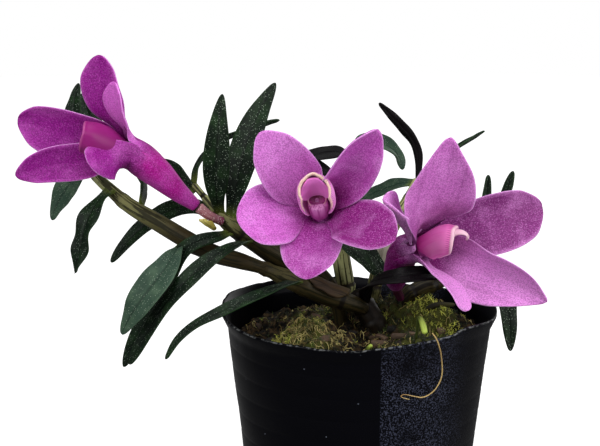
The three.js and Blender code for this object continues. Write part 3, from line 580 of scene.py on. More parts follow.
class Finishes(Enum):
    """The finishes of this plant and its pot."""

    PETAL_FRONT = PetalFinish(
        "petal_tissue_front", deep="#8A1A7A", body="#C458BE", light="#F4A8F4", spur="#98138A",
    )
    PETAL_RIGHT = PetalFinish(
        "petal_tissue_right", deep="#7E2A74", body="#CE74C8", light="#F4A4F0", spur="#8E0678",
    )
    PETAL_LEFT = PetalFinish(
        "petal_tissue_left", deep="#7E0A70", body="#96188E", light="#E272DA", spur="#AC128C", painted_glints=0.12,
    )
    LIP_FRONT = LipFinish("lip_tissue_front", deep="#8E2A78", body="#E468CA", light="#F0A0E0")
    LIP_RIGHT = LipFinish("lip_tissue_right", deep="#A82878", body="#DC3EA8", light="#E878C0", rim="#F0C0D2")
    LIP_LEFT = LipFinish(
        "lip_tissue_left", deep="#7A1060", body="#84186A", light="#8E2070", rim="#A84A88", comb=0.0,
        rim_from=0.84,
    )
    COLUMN = StreakFinish("column_tissue", ground="#B14C98", streak="#9A3080", tip="#D88CC8", rough=0.4)
    # The hollow's top takes the tip colour, dark as the painted shadow of the anther cap.
    MOUTH = StreakFinish("stigma_hollow", ground="#96387C", streak="#7E2460", tip="#5E0636", rough=0.3)
    HALO = StreakFinish("column_wing", ground="#D89AB4", streak="#B8607A", tip="#E4B4C4", rough=0.4)
    ANTHER = StreakFinish("anther_cap", ground="#B870AC", streak="#A04E90", tip="#C88ABC", rough=0.4)
    STALK = StreakFinish(
        "flower_stalk", ground="#B07A80", streak="#8A4456", tip="#7C2F50", rough=0.5, fleck="#E0CCC8",
        flecks=0.9,
    )
    STALK_DARK = StreakFinish(
        "flower_stalk_shaded", ground="#4A1830", streak="#2E0C20", tip="#5E1840", rough=0.5,
    )
    LEAF = LeafFinish("leaf_blade")
    LEAF_WARTY = LeafFinish("leaf_blade_warty", blade="#0C1C0E", wart="#B4CAB0", warts=0.9)
    LEAF_PALE = LeafFinish(
        "leaf_blade_pale", blade="#3C5444", rib="#566E56", shade="#22342A", wart="#A9B8A4", warts=0.8,
    )
    # Painted shade: a near-black copy of the leaf, for leaves in shade at the back and low under the flowers.
    LEAF_DARK = LeafFinish(
        "leaf_blade_bronze", blade="#080507", shade="#030203", rib="#10090D", foot="#1E1910", warts=0.05,
    )
    CANE = CaneFinish("cane_skin")
    CANE_OLD = CaneFinish("cane_skin_old", young="#5B5426", mid="#332C14", old="#1A130A", stripe="#0D0906")
    POT = PlasticFinish("black_polypropylene")
    EARTH = EarthFinish("wet_bark")
    MOSS = TonedFinish("moss", dark="#161E08", mid="#4E5E1E", light="#E0E260")
    BARK = TonedFinish("bark_chip", dark="#0D0906", mid="#3A2A1C", light="#6E5844", rough=0.85, size=1.0)
    FIBRE = TonedFinish("root_fibre", dark="#3A3016", mid="#7E6E36", light="#CCBE78", rough=0.6, size=0.6)
    SHEATH_BROWN = StreakFinish("sheath_brown", ground="#382818", streak="#120B07", tip="#45361C", rough=0.65)
    SHEATH_GREY = StreakFinish("sheath_dry", ground="#8F8A7A", streak="#5B5448", tip="#B9B4A2", rough=0.75)
    BRACT = StreakFinish("bract_clear", ground="#B9A94E", streak="#8A7A3A", tip="#D8CC7A", rough=0.45)
    ROOT = StreakFinish("root_tip_fresh", ground="#39421A", streak="#2A3212", tip="#A9BC50", rough=0.5)
    ROOT_DULL = StreakFinish("root_tip_old", ground="#241F11", streak="#16110A", tip="#3E3C1E", rough=0.7)
    THREAD = StreakFinish("root_thread_dry", ground="#B59A63", streak="#7A5230", tip="#C0AA74", rough=0.6)
    FLOOR = PaperFinish("paper_floor")


# ---------------------------------------------------------------- modelling


def clear_selection() -> None:
    """Leaves edit mode and selects nothing, since an operator acts on all that is selected."""
    if bpy.context.object and bpy.context.object.mode != "OBJECT":
        bpy.ops.object.mode_set(mode="OBJECT")
    bpy.ops.object.select_all(action="DESELECT")


def focus(*pieces: Piece) -> Piece:
    """Selects these pieces alone, and makes the first one active."""
    clear_selection()
    for piece in pieces:
        piece.select_set(True)
    bpy.context.view_layer.objects.active = pieces[0]
    return pieces[0]


def named(name: str) -> Piece:
    """Names the piece that an operator has just made, and its mesh."""
    piece = bpy.context.object
    piece.name = piece.data.name = name
    return piece


def straight_tube(name: str, sides: int, rings: int) -> tuple[Piece, Array, Array]:
    """A closed tube along Z, cut into rings for bending.

    Args:
        name: the piece's name.
        sides: faces round it.
        rings: faces along it, at most 101.

    Returns:
        The tube, and for each corner its angle round the tube and its share of the way up.
    """
    clear_selection()
    bpy.ops.mesh.primitive_cylinder_add(vertices=sides, radius=1, depth=2, end_fill_type="NGON")
    piece = named(name)
    bpy.ops.object.mode_set(mode="EDIT")
    bpy.ops.mesh.select_mode(type="EDGE")
    bpy.ops.mesh.select_all(action="DESELECT")
    shape = bmesh.from_edit_mesh(piece.data)
    for edge in shape.edges:
        edge.select_set(abs(edge.verts[0].co.z - edge.verts[1].co.z) > 1)
    bmesh.update_edit_mesh(piece.data)
    bpy.ops.mesh.subdivide(number_cuts=rings - 1)
    bpy.ops.object.mode_set(mode="OBJECT")
    x, y, z = corners(piece).T
    return piece, np.arctan2(y, x), (z + 1) / 2


def corners(piece: Piece) -> Array:
    """The mesh's corners, in its own units."""
    co = np.zeros(len(piece.data.vertices) * 3, np.float32)
    piece.data.vertices.foreach_get("co", co)
    return co.reshape(-1, 3).astype(float)


def fill(piece: Piece, points: Array, **records: Array | float) -> Piece:
    """Moves a mesh's corners to their places and keeps what the finishes read.

    Args:
        piece: the piece.
        points: places in millimetres, in the mesh's own order.
        records: the values of each record at the corners, or one for all of them, by the record's name.

    Returns:
        The piece, with its faces outwards and shaded smooth.
    """
    piece.data.vertices.foreach_set("co", (points * MM).astype(np.float32).ravel())
    for kind, values in records.items():
        values = np.asarray(values, np.float32)
        if values.ndim == 0:
            values = np.full(len(points), values)
        vector = values.ndim == 2
        store = piece.data.attributes.new(kind, "FLOAT_VECTOR" if vector else "FLOAT", "POINT")
        store.data.foreach_set("vector" if vector else "value", values.ravel())
    piece.data.update()
    focus(piece)
    bpy.ops.object.mode_set(mode="EDIT")
    bpy.ops.mesh.select_all(action="SELECT")
    bpy.ops.mesh.normals_make_consistent(inside=False)
    bpy.ops.object.mode_set(mode="OBJECT")
    bpy.ops.object.shade_smooth()
    return piece


def join(name: str, pieces: Sequence[Piece]) -> Piece:
    """Joins pieces into one mesh with that name."""
    piece = focus(*pieces)
    if len(pieces) > 1:
        bpy.ops.object.join()
    piece.name = piece.data.name = name
    return piece


def settle(piece: Piece, finish: Finishes | None, slot: str, *nodes: str) -> Piece:
    """Gives a finished piece its material and body, and hides the solids it stands for.

    Args:
        piece: the piece.
        finish: its finish, or None where its faces already have theirs.
        slot: not used.
        nodes: the solids it replaces.

    Returns:
        The piece.
    """
    if finish is not None:
        piece.data.materials.clear()
        piece.data.materials.append(finish.value.material())
    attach(piece, BODY)
    if nodes:
        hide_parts(*nodes)
    LOG.info("%s: %d faces", piece.name, len(piece.data.polygons))
    return piece


def merged(name: str, shapes: Sequence[tuple[Array, list]], tones: Sequence[float]) -> Piece:
    """One mesh of many small copied shapes.

    Args:
        name: the piece's name.
        shapes: corners in millimetres and faces of each copy.
        tones: one tone for each copy.

    Returns:
        The piece.
    """
    faces, first = [], 0
    for corner, face in shapes:
        faces += [[first + i for i in f] for f in face]
        first += len(corner)
    points = np.vstack([corner for corner, _ in shapes])
    mesh = bpy.data.meshes.new(name)
    mesh.from_pydata((points * MM).tolist(), [], faces)
    piece = bpy.data.objects.new(name, mesh)
    bpy.context.scene.collection.objects.link(piece)
    return fill(piece, points, tone=np.repeat(tones, [len(corner) for corner, _ in shapes]))


# ---------------------------------------------------------------- stems and blades


@dataclass
class Stem:
    """A round stem through points, thick as radii says at each of them.

    path: points along its middle. sides, rings: faces round it and along it. caps: length of the rounding at
    its foot and tip. furrows: depth of the grooves along it, as a share of the radius. joints: place on the
    path, 0 to 1, and swelling of each. ages: tones at even steps.
    """

    path: Sequence[Point]
    radii: Sequence[float]
    sides: int = 20
    rings: int = 60
    caps: tuple[float, float] = (0.5, 0.5)
    furrows: float = 0.0
    joints: Sequence[tuple[float, float]] = ()
    ages: Sequence[float] = (0.5, 0.5)
    finish: Finishes = Finishes.CANE

    def build(self, name: str) -> Piece:
        """Bends a straight tube along the path, swells its joints and rounds its ends."""
        piece, theta, up = straight_tube(name, self.sides, self.rings)
        ring = np.rint(up * self.rings).astype(int)
        t = np.arange(self.rings + 1) / self.rings
        spine = Spine(self.path)
        run = np.interp(t, spine.fine, spine.lengths)
        place, one, two = spine.frames(t)
        radius = np.maximum(eased(self.radii, t), 0.05)
        tone = eased(self.ages, t)
        # In millimetres past each joint: a swollen band, a groove and the groove's dark stain.
        for where, swell in self.joints:
            off = run - np.interp(where, spine.fine, spine.lengths)
            band, groove, stain = bell(off, 0, 0.9), bell(off, 1.1, 0.35), bell(off, 1.0, 0.3)
            radius = radius * (1 + swell * band - 0.05 * groove)
            tone = tone + 1.6 * stain
        for end, gap in ((self.caps[0], run), (self.caps[1], run[-1] - run)):
            near = np.clip(gap / end, 0, 1)
            radius = radius * np.maximum(np.sqrt(1 - (1 - near) ** 2), 0.08)
        grooves = 0.6 * np.cos(9 * theta + 0.05 * run[ring]) + 0.4 * np.cos(14 * theta - 0.11 * run[ring] + 1)
        r = radius[ring] * (1 + self.furrows * grooves)
        x, y = r * np.cos(theta), r * np.sin(theta)
        points = place[ring] + one[ring] * x[:, None] + two[ring] * y[:, None]
        grown = np.stack([x, y, run[ring]], axis=1)
        return fill(piece, points, grown=grown, along=t[ring], edge=0, tone=tone[ring])


@dataclass
class Blade:
    """A thin blade along a curved midrib.

    path: points of the midrib. width: at its widest, along the surface. shape: share of the width at even
    steps. face: where the upper face looks. roll: half angles of the arc that it is curled to. turn, twist:
    turn about the midrib, at the foot and then all along, in degrees. wave: height and count of the ripples
    along the margins. groove: depth of the channel over the midrib. ruffle: height of the small unevenness.
    along: the record's values at foot and tip. turn_from: share of the length from which it is free to turn.
    root_face: where it looks before that. margin: the edge record, if it is the same all over.
    """

    path: Sequence[Point]
    width: float
    shape: Sequence[float]
    face: Point
    roll: Sequence[float] = (20, 20)
    turn: float = 0.0
    twist: float = 0.0
    wave: tuple[float, float] = (0, 0)
    thickness: float = 0.72
    groove: float = 0.28
    ruffle: float = 0.12
    sides: int = 44
    rings: int = 44
    along: tuple[float, float] = (0.0, 1.0)
    turn_from: float = 0.0
    root_face: Point | None = None
    margin: float | None = None
    tone: float = 0.5
    finish: Finishes = Finishes.LEAF

    def outline(self, u: Array) -> Array:
        """Share of the width at each share of the length, ending in a round tip."""
        knots = np.linspace(0, 1, len(self.shape))
        bow = np.sqrt(np.maximum(1 - knots, 0))
        full = np.asarray(self.shape) / np.maximum(bow, 1e-6)
        full[-1] = max(1.7 * full[-2] - 0.7 * full[-3], 0.35 * full[-2])
        return eased(full, u) * np.sqrt(np.maximum(1 - u, 0))

    def normals(self, u: Array, tangent: Array) -> Array:
        """Where the upper face looks at each share of the length."""
        normal = np.tile(unit(np.array(self.face, float)), (len(u), 1))
        if self.root_face is not None:
            root = np.asarray(self.root_face)
            root = unit(root - tangent * (tangent @ root)[:, None])
            freed = step(u, self.turn_from - 0.05, self.turn_from + 0.12)[:, None]
            normal = root * (1 - freed) + squared(normal, tangent) * freed
        free = np.clip((u - self.turn_from) / (1 - self.turn_from), 0, 1)
        angle = np.radians(self.turn * step(free, 0, 0.5) + self.twist * free)
        return turned(squared(normal, tangent), tangent, angle)

    def ripples(self, name: str, s: Array, u: Array) -> Array:
        """Waves of the margins, unevenness and the midrib's channel, at places s across and u along."""
        phase = (sum(map(ord, name)) % 97) / 97 * 2 * np.pi
        height, count = self.wave
        ripple = height * s * s * np.sin(2 * np.pi * (count * u + 0.2 * s))
        slow = np.sin(2 * np.pi * (2.3 * u + 0.35 * s) + phase)
        quick = np.sin(2 * np.pi * (4.1 * u - 0.5 * s) + 2 * phase)
        ripple += self.ruffle * (0.3 + s * s) * slow * step(u, 0, 0.2)
        ripple += self.ruffle * 0.6 * s * quick * step(u, 0, 0.2)
        return ripple - self.groove * bell(s, 0, 0.11) * step(1 - u, 0, 0.15)

    def build(self, name: str) -> Piece:
        """Flattens a straight tube to the blade's section and bends it along the midrib."""
        piece, theta, up = straight_tube(name, self.sides, self.rings)
        ring = np.rint(up * self.rings).astype(int)
        s, skin = flattened(theta, 0.2)
        # The rings crowd towards the tip, where the outline turns fastest.
        u = 1 - (1 - np.arange(self.rings + 1) / self.rings) ** 1.7
        spine = Spine(self.path)
        place, tangent = spine.even(u)
        normal = self.normals(u, tangent)
        side = np.cross(tangent, normal)
        half = self.width / 2 * np.maximum(self.outline(u), 0.012)
        arc = np.radians(np.maximum(eased(self.roll, u), 0.5))
        u, half, arc, side, normal = u[ring], half[ring], arc[ring], side[ring], normal[ring]
        thin = np.minimum(1, np.sqrt(np.clip((1 - u) * spine.length / (1.2 * self.thickness), 0, 1)) + 0.06)
        thick = self.thickness / 2 * np.sqrt(np.maximum(1 - np.abs(s) ** 5, 0)) * thin
        x = half / arc * np.sin(arc * s)
        y = half / arc * (1 - np.cos(arc * s)) + self.ripples(name, s, u)
        lean = side * (-np.sin(arc * s))[:, None] + normal * np.cos(arc * s)[:, None]
        points = place[ring] + side * x[:, None] + normal * y[:, None] + lean * (skin * thick)[:, None]
        grown = np.stack([s * half, skin * thick, u * spine.length], axis=1)
        low, high = self.along
        edge = np.abs(s) if self.margin is None else self.margin
        return fill(piece, points, grown=grown, along=low + (high - low) * u, edge=edge, tone=self.tone)


# ---------------------------------------------------------------- pot


@dataclass
class Pot:
    """The soft pot: a thin wall with faint ribs, a flared rim that has sagged, and drain holes."""

    height: float = 68
    foot_radius: float = 28.5
    shoulder_radius: float = 35.7
    shoulder_drop: float = 4
    rim_radius: float = 37.3
    wall: float = 0.9
    floor: float = 1.4
    foot_chamfer: float = 0.8
    sides: int = 192
    rib_pitch: float = 6.3
    rib_depth: float = 0.1
    drain_holes: int = 8
    drain_radius: float = 2.2
    drain_circle: float = 20
    seam_angle: float = -83

    def wall_radius(self, z: Array | float) -> Array | float:
        """Outer radius of the straight wall at a height."""
        widening = self.shoulder_radius - self.foot_radius
        return self.foot_radius + widening * z / (self.height - self.shoulder_drop)

    @staticmethod
    def lift(a: Array) -> Array:
        """How far the soft rim has sagged or lifted, at an angle."""
        return 1.2 * np.sin(2 * a + 2.63) + 0.25 * np.sin(5 * a) + 0.15 * np.sin(9 * a + 1)

    @staticmethod
    def press(a: Array) -> Array:
        """How far the soft rim has been pressed out of round, at an angle."""
        return 0.5 * np.cos(2 * a + 0.5)

    def profile(self) -> list[tuple[float, float]]:
        """Radius and height down the section: up the outside, over the rim and down the inside."""
        top, rim = self.height, self.rim_radius
        shoulder, bend = top - self.shoulder_drop, self.shoulder_radius
        outer = [(self.foot_radius, self.foot_chamfer)]
        rib = ((-0.75, 0), (-0.3, 0.7), (0.1, 1), (0.45, 0.3), (0.8, 0))
        for k in range(9, -1, -1):
            z = shoulder - 4.3 - self.rib_pitch * k
            if z >= 4:
                outer += [(self.wall_radius(z + up) - self.rib_depth * deep, z + up) for up, deep in rib]
        brim = [
            (bend - 0.12, shoulder - 1.0), (bend - 0.05, shoulder - 0.1), (bend + 0.42, shoulder + 0.7),
            (bend + 0.95, shoulder + 1.9), (rim - 0.1, top - 1.0), (rim, top - 0.55),
            (rim - 0.05, top - 0.15), (rim - 0.3, top), (rim - 0.65, top - 0.1), (rim - self.wall, top - 0.5),
            (bend + 0.1 - self.wall, shoulder + 1.2), (bend - self.wall, shoulder),
        ]
        inner = [(self.wall_radius(z) - self.wall, z) for z in (58, 50, 40, 30, 20, 10, 3)]
        return outer + brim + inner + [(self.foot_radius - self.wall - 0.4, self.floor)]

    def shell(self) -> Piece:
        """Extrudes and widens a disc's rim ring by ring, then closes the floor."""
        clear_selection()
        start = self.foot_radius - self.foot_chamfer
        bpy.ops.mesh.primitive_circle_add(vertices=self.sides, radius=start, fill_type="NGON")
        piece = named("nursery_pot")
        bpy.ops.object.mode_set(mode="EDIT")
        bpy.ops.mesh.select_all(action="SELECT")
        radius, height = start, 0.0
        for k, (r, z) in enumerate(self.profile()):
            if k == 0:
                bpy.ops.mesh.extrude_region_move(TRANSFORM_OT_translate={"value": (0, 0, z)})
                bpy.ops.mesh.select_mode(type="EDGE")
                bpy.ops.mesh.delete(type="ONLY_FACE")
                bpy.ops.mesh.select_all(action="DESELECT")
                shape = bmesh.from_edit_mesh(piece.data)
                for edge in shape.edges:
                    edge.select_set(all(v.co.z > z / 2 for v in edge.verts))
                bmesh.update_edit_mesh(piece.data)
            else:
                bpy.ops.mesh.extrude_edges_move(TRANSFORM_OT_translate={"value": (0, 0, z - height)})
            share = r / radius
            bpy.ops.transform.resize(value=(share, share, 1), center_override=(0, 0, 0))
            radius, height = r, z
        bpy.ops.mesh.edge_face_add()
        bpy.ops.object.mode_set(mode="OBJECT")
        return piece

    def drill(self, piece: Piece) -> None:
        """Cuts the drain holes through the floor."""
        clear_selection()
        drills = []
        for k in range(self.drain_holes):
            angle = 2 * math.pi * (k + 0.5) / self.drain_holes
            at = (self.drain_circle * math.cos(angle), self.drain_circle * math.sin(angle), 0)
            bpy.ops.mesh.primitive_cylinder_add(vertices=24, radius=self.drain_radius, depth=8, location=at)
            drills.append(bpy.context.object)
        drill = join("drain_drill", drills)
        focus(drill)
        bpy.ops.object.transform_apply()
        focus(piece)
        bpy.ops.object.modifier_add(type="BOOLEAN")
        cut = piece.modifiers[-1]
        cut.operation, cut.object, cut.solver = "DIFFERENCE", drill, "EXACT"
        bpy.ops.object.modifier_apply(modifier=cut.name)
        bpy.data.objects.remove(drill)

    def build(self) -> Piece:
        """The pot, sagged, with the sheet's overlap as a low step down its front."""
        piece = self.shell()
        self.drill(piece)
        x, y, z = corners(piece).T
        a, r, share = np.arctan2(y, x), np.hypot(x, y), z / self.height
        around = [(math.cos(t), math.sin(t)) for t in a]
        fine = np.array([noise.noise(Vector((12.4 * c, 12.4 * s, 0.3))) for c, s in around])
        coarse = [noise.noise(Vector((c * 2.2, s * 2.2, h * 0.09))) for (c, s), h in zip(around, z)]
        # Only the wall is uneven: the floor ends where the wall's foot begins.
        inside = self.foot_radius - 4.5
        body = step(r, inside, inside + 3) * step(share, 0, 0.15)
        # The sheet's overlap: a ridge along the seam, then a flap that thins out over 50 degrees.
        past = a - math.radians(self.seam_angle)
        seam = bell(past, 0, 0.011) * 0.16 * body
        flap = step(past, 0, 0.004) * (1 - step(past, 0.0, 0.9)) * 0.14 * body
        grow = self.press(a) * share * (r > inside) + 0.25 * np.array(coarse) * body + 0.18 * fine * share**8
        grow += (seam + flap) * (z < self.height - self.shoulder_drop)
        keep = np.where(r > 1e-6, (r + grow) / np.maximum(r, 1e-6), 1)
        # The nick where the rim has lifted, from -51 to -20 degrees.
        low, tip, high = np.radians((-51, -47, -20))
        nick = 0.7 * step(a, low, tip) * (1 - step(a, tip, high))
        sagged = z + (self.lift(a) * share**3 + (0.22 * fine + nick) * share**14)
        # The rim's top edge, along which the finish paints a highlight.
        brim = step(z, self.height - 0.4, self.height - 0.2) * (r > self.rim_radius - 0.2)
        return fill(piece, np.stack([x * keep, y * keep, sagged], axis=1), edge=brim)


# ---------------------------------------------------------------- bark and moss


@dataclass
class Medium:
    """What fills the pot: rotted bark with heaps of moss, fibres and chips on it.

    edge_dip: how far it lies below edge_height at the wall. clearance: from the wall. heaps: centre, height
    and radius of each. greens, brights: centre, radius and amount of moss, and of young pale moss.
    """

    pot: Pot
    edge_height: float = 60
    edge_dip: float = 4
    lump_height: float = 1.1
    lump_length: float = 9
    clearance: float = 0.3
    moss_radius: float = 33.0
    fibre_radius: float = 32.5
    chip_radius: float = 30
    heaps: Sequence[tuple[float, float, float, float]] = (
        (9, 11, 6.2, 14), (-13, 7, 3.6, 9), (-14, -15, 9.2, 10), (-13, -27, 3.5, 7), (14, -25, 6.4, 10),
        (20, 2, 6.6, 10), (-28, -8, -3, 12),
    )
    greens: Sequence[tuple[float, float, float, float]] = (
        (-15, -18, 9, 1.0), (-12, -27, 6, 0.9), (13, -26, 9, 1.0), (23, -20, 8, 1.0), (20, -4, 10, 1.0),
        (9, 12, 16, 0.6), (-14, 14, 12, 0.6), (-26, -14, 6, 0.45),
    )
    brights: Sequence[tuple[float, float, float, float]] = (
        (-17, -17, 5, 0.45), (-21, -22, 3, 0.5), (-9, -26, 3, 0.5), (19, -1, 5, 1.3), (25, -7, 4, 1.0),
        (9, -30, 3, 0.4),
    )

    def height(self, x: Array, y: Array) -> Array:
        """The filling's height at a place, as its solid has it."""
        k = 2 * np.pi / self.lump_length
        lumps = np.sin(k * x + 0.6) * np.sin(k * y - 0.9)
        lumps = lumps + 0.5 * np.sin(1.9 * k * x - 1.3) * np.sin(1.7 * k * y + 0.5)
        heaps = sum(rise * dome(x, y, cx, cy, spread**2) for cx, cy, rise, spread in self.heaps)
        return self.edge_height + heaps + self.lump_height * lumps

    def crumble(self, x: float, y: float) -> float:
        """Small unevenness of the surface at a place."""
        v = Vector((x, y, 0))
        return 1.1 * noise.fractal(v * 0.42, 1.0, 2.1, 4) + 0.5 * noise.noise(v * 1.6)

    def top(self, x: float, y: float) -> float:
        """Height of the crumbled surface at a place."""
        return float(self.height(np.array(x), np.array(y))) + self.crumble(x, y)

    def green(self, x: float, y: float) -> float:
        """How mossy a place is, 0 to about 1."""
        return min(1.0, sum(amount * dome(x, y, cx, cy, r**2) for cx, cy, r, amount in self.greens))

    def wall(self, z: Array | float, a: Array) -> Array:
        """Radius of the filling against the pot's wall, at a height and an angle."""
        straight = self.pot.wall_radius(z) - self.pot.wall - self.clearance
        return straight + self.pot.press(a) * z / self.pot.height

    def ground(self) -> Piece:
        """The filling itself: a closed drum with a heaped, crumbled top."""
        piece, a, t = straight_tube("bark_filling", 160, 96)
        base = self.pot.floor + self.clearance
        # The tube's first tenth climbs the pot's wall, and the rest closes over the top to the middle.
        wall_share = 0.1
        on_wall = t <= wall_share + 1e-6
        brink = self.edge_height - self.edge_dip
        z_wall = base + (self.edge_height - base) * t / wall_share
        share = np.where(on_wall, 1, 1 - (t - wall_share) / (1 - wall_share))
        ref = self.wall(np.where(on_wall, z_wall, brink), a)
        r = np.where(on_wall, np.minimum(ref, self.wall(brink, a)), ref * np.maximum(share, 0.004))
        x, y = r * np.cos(a), r * np.sin(a)
        top = self.height(x, y)
        rough = np.array([self.crumble(p, q) for p, q in zip(x, y)])
        z = np.where(on_wall, np.minimum(z_wall, top), top + rough * step(1 - share, 0, 0.06))
        z = np.where(np.abs(t - wall_share) < 1e-3, top, z)
        tone = np.array([self.green(p, q) for p, q in zip(x, y)])
        return fill(piece, np.stack([x, y, z], axis=1), tone=tone)

    def places(self, rng: random.Random, count: int, weight: Callable[[float, float], float]) -> list[Point]:
        """Random places on the surface, thick where weight is high."""
        found: list[Point] = []
        while len(found) < count:
            r = self.moss_radius * math.sqrt(rng.random())
            a = rng.uniform(-math.pi, math.pi)
            x, y = r * math.cos(a), r * math.sin(a)
            if rng.random() < weight(x, y):
                found.append((x, y, self.top(x, y)))
        return found

    @staticmethod
    def sprig(rng: random.Random) -> tuple[Array, list]:
        """One shoot of moss, 1 mm tall: a bent stalk with small pointed leaves all round it."""
        points: list[Array] = []
        faces: list[list[int]] = []
        lean = unit(np.array([rng.gauss(0, 0.45), rng.gauss(0, 0.45), 1.0]))
        bend = np.array([rng.gauss(0, 0.5), rng.gauss(0, 0.5), -0.15])
        leaves = 6
        for k in range(leaves):
            s = 0.12 + 0.88 * k / (leaves - 1)
            root = lean * s + bend * s * s * 0.6
            a = k * 2.4 + rng.uniform(-0.4, 0.4)
            out = unit(np.array([math.cos(a), math.sin(a), rng.uniform(0.1, 0.9)]))
            size = rng.uniform(0.3, 0.5) * (1.15 - 0.35 * s)
            side = unit(np.cross(out, [0, 0, 1.0]))
            up = np.cross(side, out)
            mid = root + out * size * 0.45 - up * size * 0.06
            first = len(points)
            points += [
                root, mid + side * size * 0.17, mid + up * size * 0.07, mid - side * size * 0.17,
                mid - up * size * 0.05, root + out * size - up * size * 0.2,
            ]
            for i in range(4):
                j = (i + 1) % 4
                faces += [[first, first + 1 + j, first + 1 + i], [first + 5, first + 1 + i, first + 1 + j]]
        first = len(points)
        for s, w in ((-0.15, 0.1), (0.5, 0.07), (1.0, 0.04)):
            c = lean * s + bend * s * s * 0.6
            points += [c + np.array([math.cos(q), math.sin(q), 0]) * w * 0.6 for q in (0, 2.09, 4.19)]
        for ring in (0, 3):
            for i in range(3):
                j = (i + 1) % 3
                faces.append([first + ring + i, first + ring + j, first + ring + 3 + j, first + ring + 3 + i])
        faces += [[first + 2, first + 1, first], [first + 6, first + 7, first + 8]]
        return np.array(points), faces

    def moss(self) -> Piece:
        """The moss: some thousand sprigs of a few grown forms, thick on the heaps."""
        rng = random.Random(7)
        forms = [self.sprig(rng) for _ in range(10)]
        shapes, tones = [], []
        for x, y, z in self.places(rng, 2000, lambda p, q: self.green(p, q) ** 1.4):
            points, faces = rng.choice(forms)
            turn = spin(rng.uniform(0, 2 * math.pi), 2)
            size = rng.uniform(0.9, 2.1)
            shapes.append((points @ turn.T * size + [x, y, z - 0.2], faces))
            bright = sum(amount * dome(x, y, cx, cy, r**2) for cx, cy, r, amount in self.brights)
            patch = 0.14 + 1.1 * noise.noise(Vector((x * 0.2, y * 0.2, 4.2))) + bright
            tones.append(min(1.0, max(0.0, rng.gauss(patch, 0.2))))
        return merged("moss_sprigs", shapes, tones)

    @staticmethod
    def thread(points: Array, radius: float) -> tuple[Array, list]:
        """A thin closed thread through points, with four sides."""
        tangent = unit(np.gradient(points, axis=0))
        across = np.cross(tangent[0], [0.3, 0.2, 1.0])
        last = len(points) - 1
        rings, faces = [], []
        for k, (p, d) in enumerate(zip(points, tangent)):
            across = unit(across - d * (across @ d))
            other = np.cross(d, across)
            r = radius * (0.35 if k in (0, last) else 1)
            turns = np.arange(4) * math.pi / 2
            rings += [p + across * r * math.cos(q) + other * r * math.sin(q) for q in turns]
        for k in range(0, 4 * last, 4):
            for i in range(4):
                j = (i + 1) % 4
                faces.append([k + i, k + j, k + 4 + j, k + 4 + i])
        faces += [[3, 2, 1, 0], list(range(4 * last, 4 * last + 4))]
        return np.array(rings), faces

    def fibres(self) -> Piece:
        """Brown hair roots and moss stalks that curl over the surface, thickest on the front left heap."""
        rng = random.Random(21)
        shapes, tones = [], []

        def weight(x: float, y: float) -> float:
            """How likely a fibre starts at a place."""
            return 0.05 + 1.3 * dome(x, y, -14, -19, 75) + 0.12 * dome(x, y, 2, -24, 60)

        for x, y, _ in self.places(rng, 900, weight):
            heading = rng.uniform(0, 2 * math.pi)
            curl = rng.gauss(0, 0.8)
            length = rng.uniform(1.2, 3.6)
            arch = rng.uniform(0.05, 0.5)
            points = []
            for k in range(7):
                s = k / 6
                x += math.cos(heading) * length / 6
                y += math.sin(heading) * length / 6
                heading += curl * (0.5 + s) + rng.gauss(0, 0.08)
                r = math.hypot(x, y)
                if r > self.fibre_radius:
                    x, y = x * self.fibre_radius / r, y * self.fibre_radius / r
                points.append((x, y, self.top(x, y) + 0.2 + arch * math.sin(math.pi * s)))
            shapes.append(self.thread(np.array(points), rng.uniform(0.07, 0.12)))
            tones.append(rng.uniform(0.0, 1.0) ** 0.8)
        return merged("hair_roots", shapes, tones)

    @staticmethod
    def chip(rng: random.Random, k: int) -> tuple[Array, list]:
        """One block of bark, cut by random planes and broken along its grain."""
        clear_selection()
        bpy.ops.mesh.primitive_cube_add(size=2)
        block = named(f"chip_form_{k}")
        bpy.ops.object.mode_set(mode="EDIT")
        bpy.ops.mesh.select_all(action="SELECT")
        bpy.ops.mesh.subdivide(number_cuts=4)
        for _ in range(6):
            bpy.ops.mesh.select_all(action="SELECT")
            way = Vector([rng.gauss(0, 1) for _ in range(3)]).normalized()
            at = way * rng.uniform(0.75, 1.05)
            bpy.ops.mesh.bisect(plane_co=at, plane_no=way, use_fill=True, clear_outer=True)
        bpy.ops.mesh.select_all(action="SELECT")
        bpy.ops.mesh.quads_convert_to_tris()
        bpy.ops.object.mode_set(mode="OBJECT")
        co = corners(block)
        seed = Vector((k * 7.3, 0, 0))
        grain = [0.16 * noise.noise_vector(Vector((x * 0.7, y * 3, z * 3)) + seed) for x, y, z in co]
        faces = [list(f.vertices) for f in block.data.polygons]
        bpy.data.objects.remove(block)
        return co + np.array(grain), faces

    def chips(self) -> Piece:
        """Chips of bark: a few cut blocks, copied and turned."""
        rng = random.Random(33)
        # Without a seed, noise_vector starts from the clock and breaks the chips anew in each run.
        noise.seed_set(33)
        forms = [self.chip(rng, k) for k in range(5)]
        shapes, tones = [], []
        for x, y, z in self.places(rng, 46, lambda p, q: 0.25 + 0.9 * dome(p, q, 3, -16, 120)):
            if math.hypot(x, y) > self.chip_radius:
                continue
            points, faces = rng.choice(forms)
            turn = spin(rng.uniform(0, 2 * math.pi), 2)
            lean = spin(rng.gauss(0, 0.35), 0)
            size = np.array([rng.uniform(0.9, 2.2), rng.uniform(0.6, 1.2), rng.uniform(0.4, 0.9)])
            shapes.append(((points * size) @ lean.T @ turn.T + [x, y, z + 0.15], faces))
            tones.append(rng.uniform(0, 1) ** 1.5)
        return merged("bark_chips", shapes, tones)

    def build(self) -> None:
        """The filling and all that lies on it."""
        settle(self.ground(), Finishes.EARTH, "medium", "bark_and_moss")
        settle(self.moss(), Finishes.MOSS, "medium")
        settle(self.fibres(), Finishes.FIBRE, "medium")
        settle(self.chips(), Finishes.BARK, "medium")


# ---------------------------------------------------------------- canes

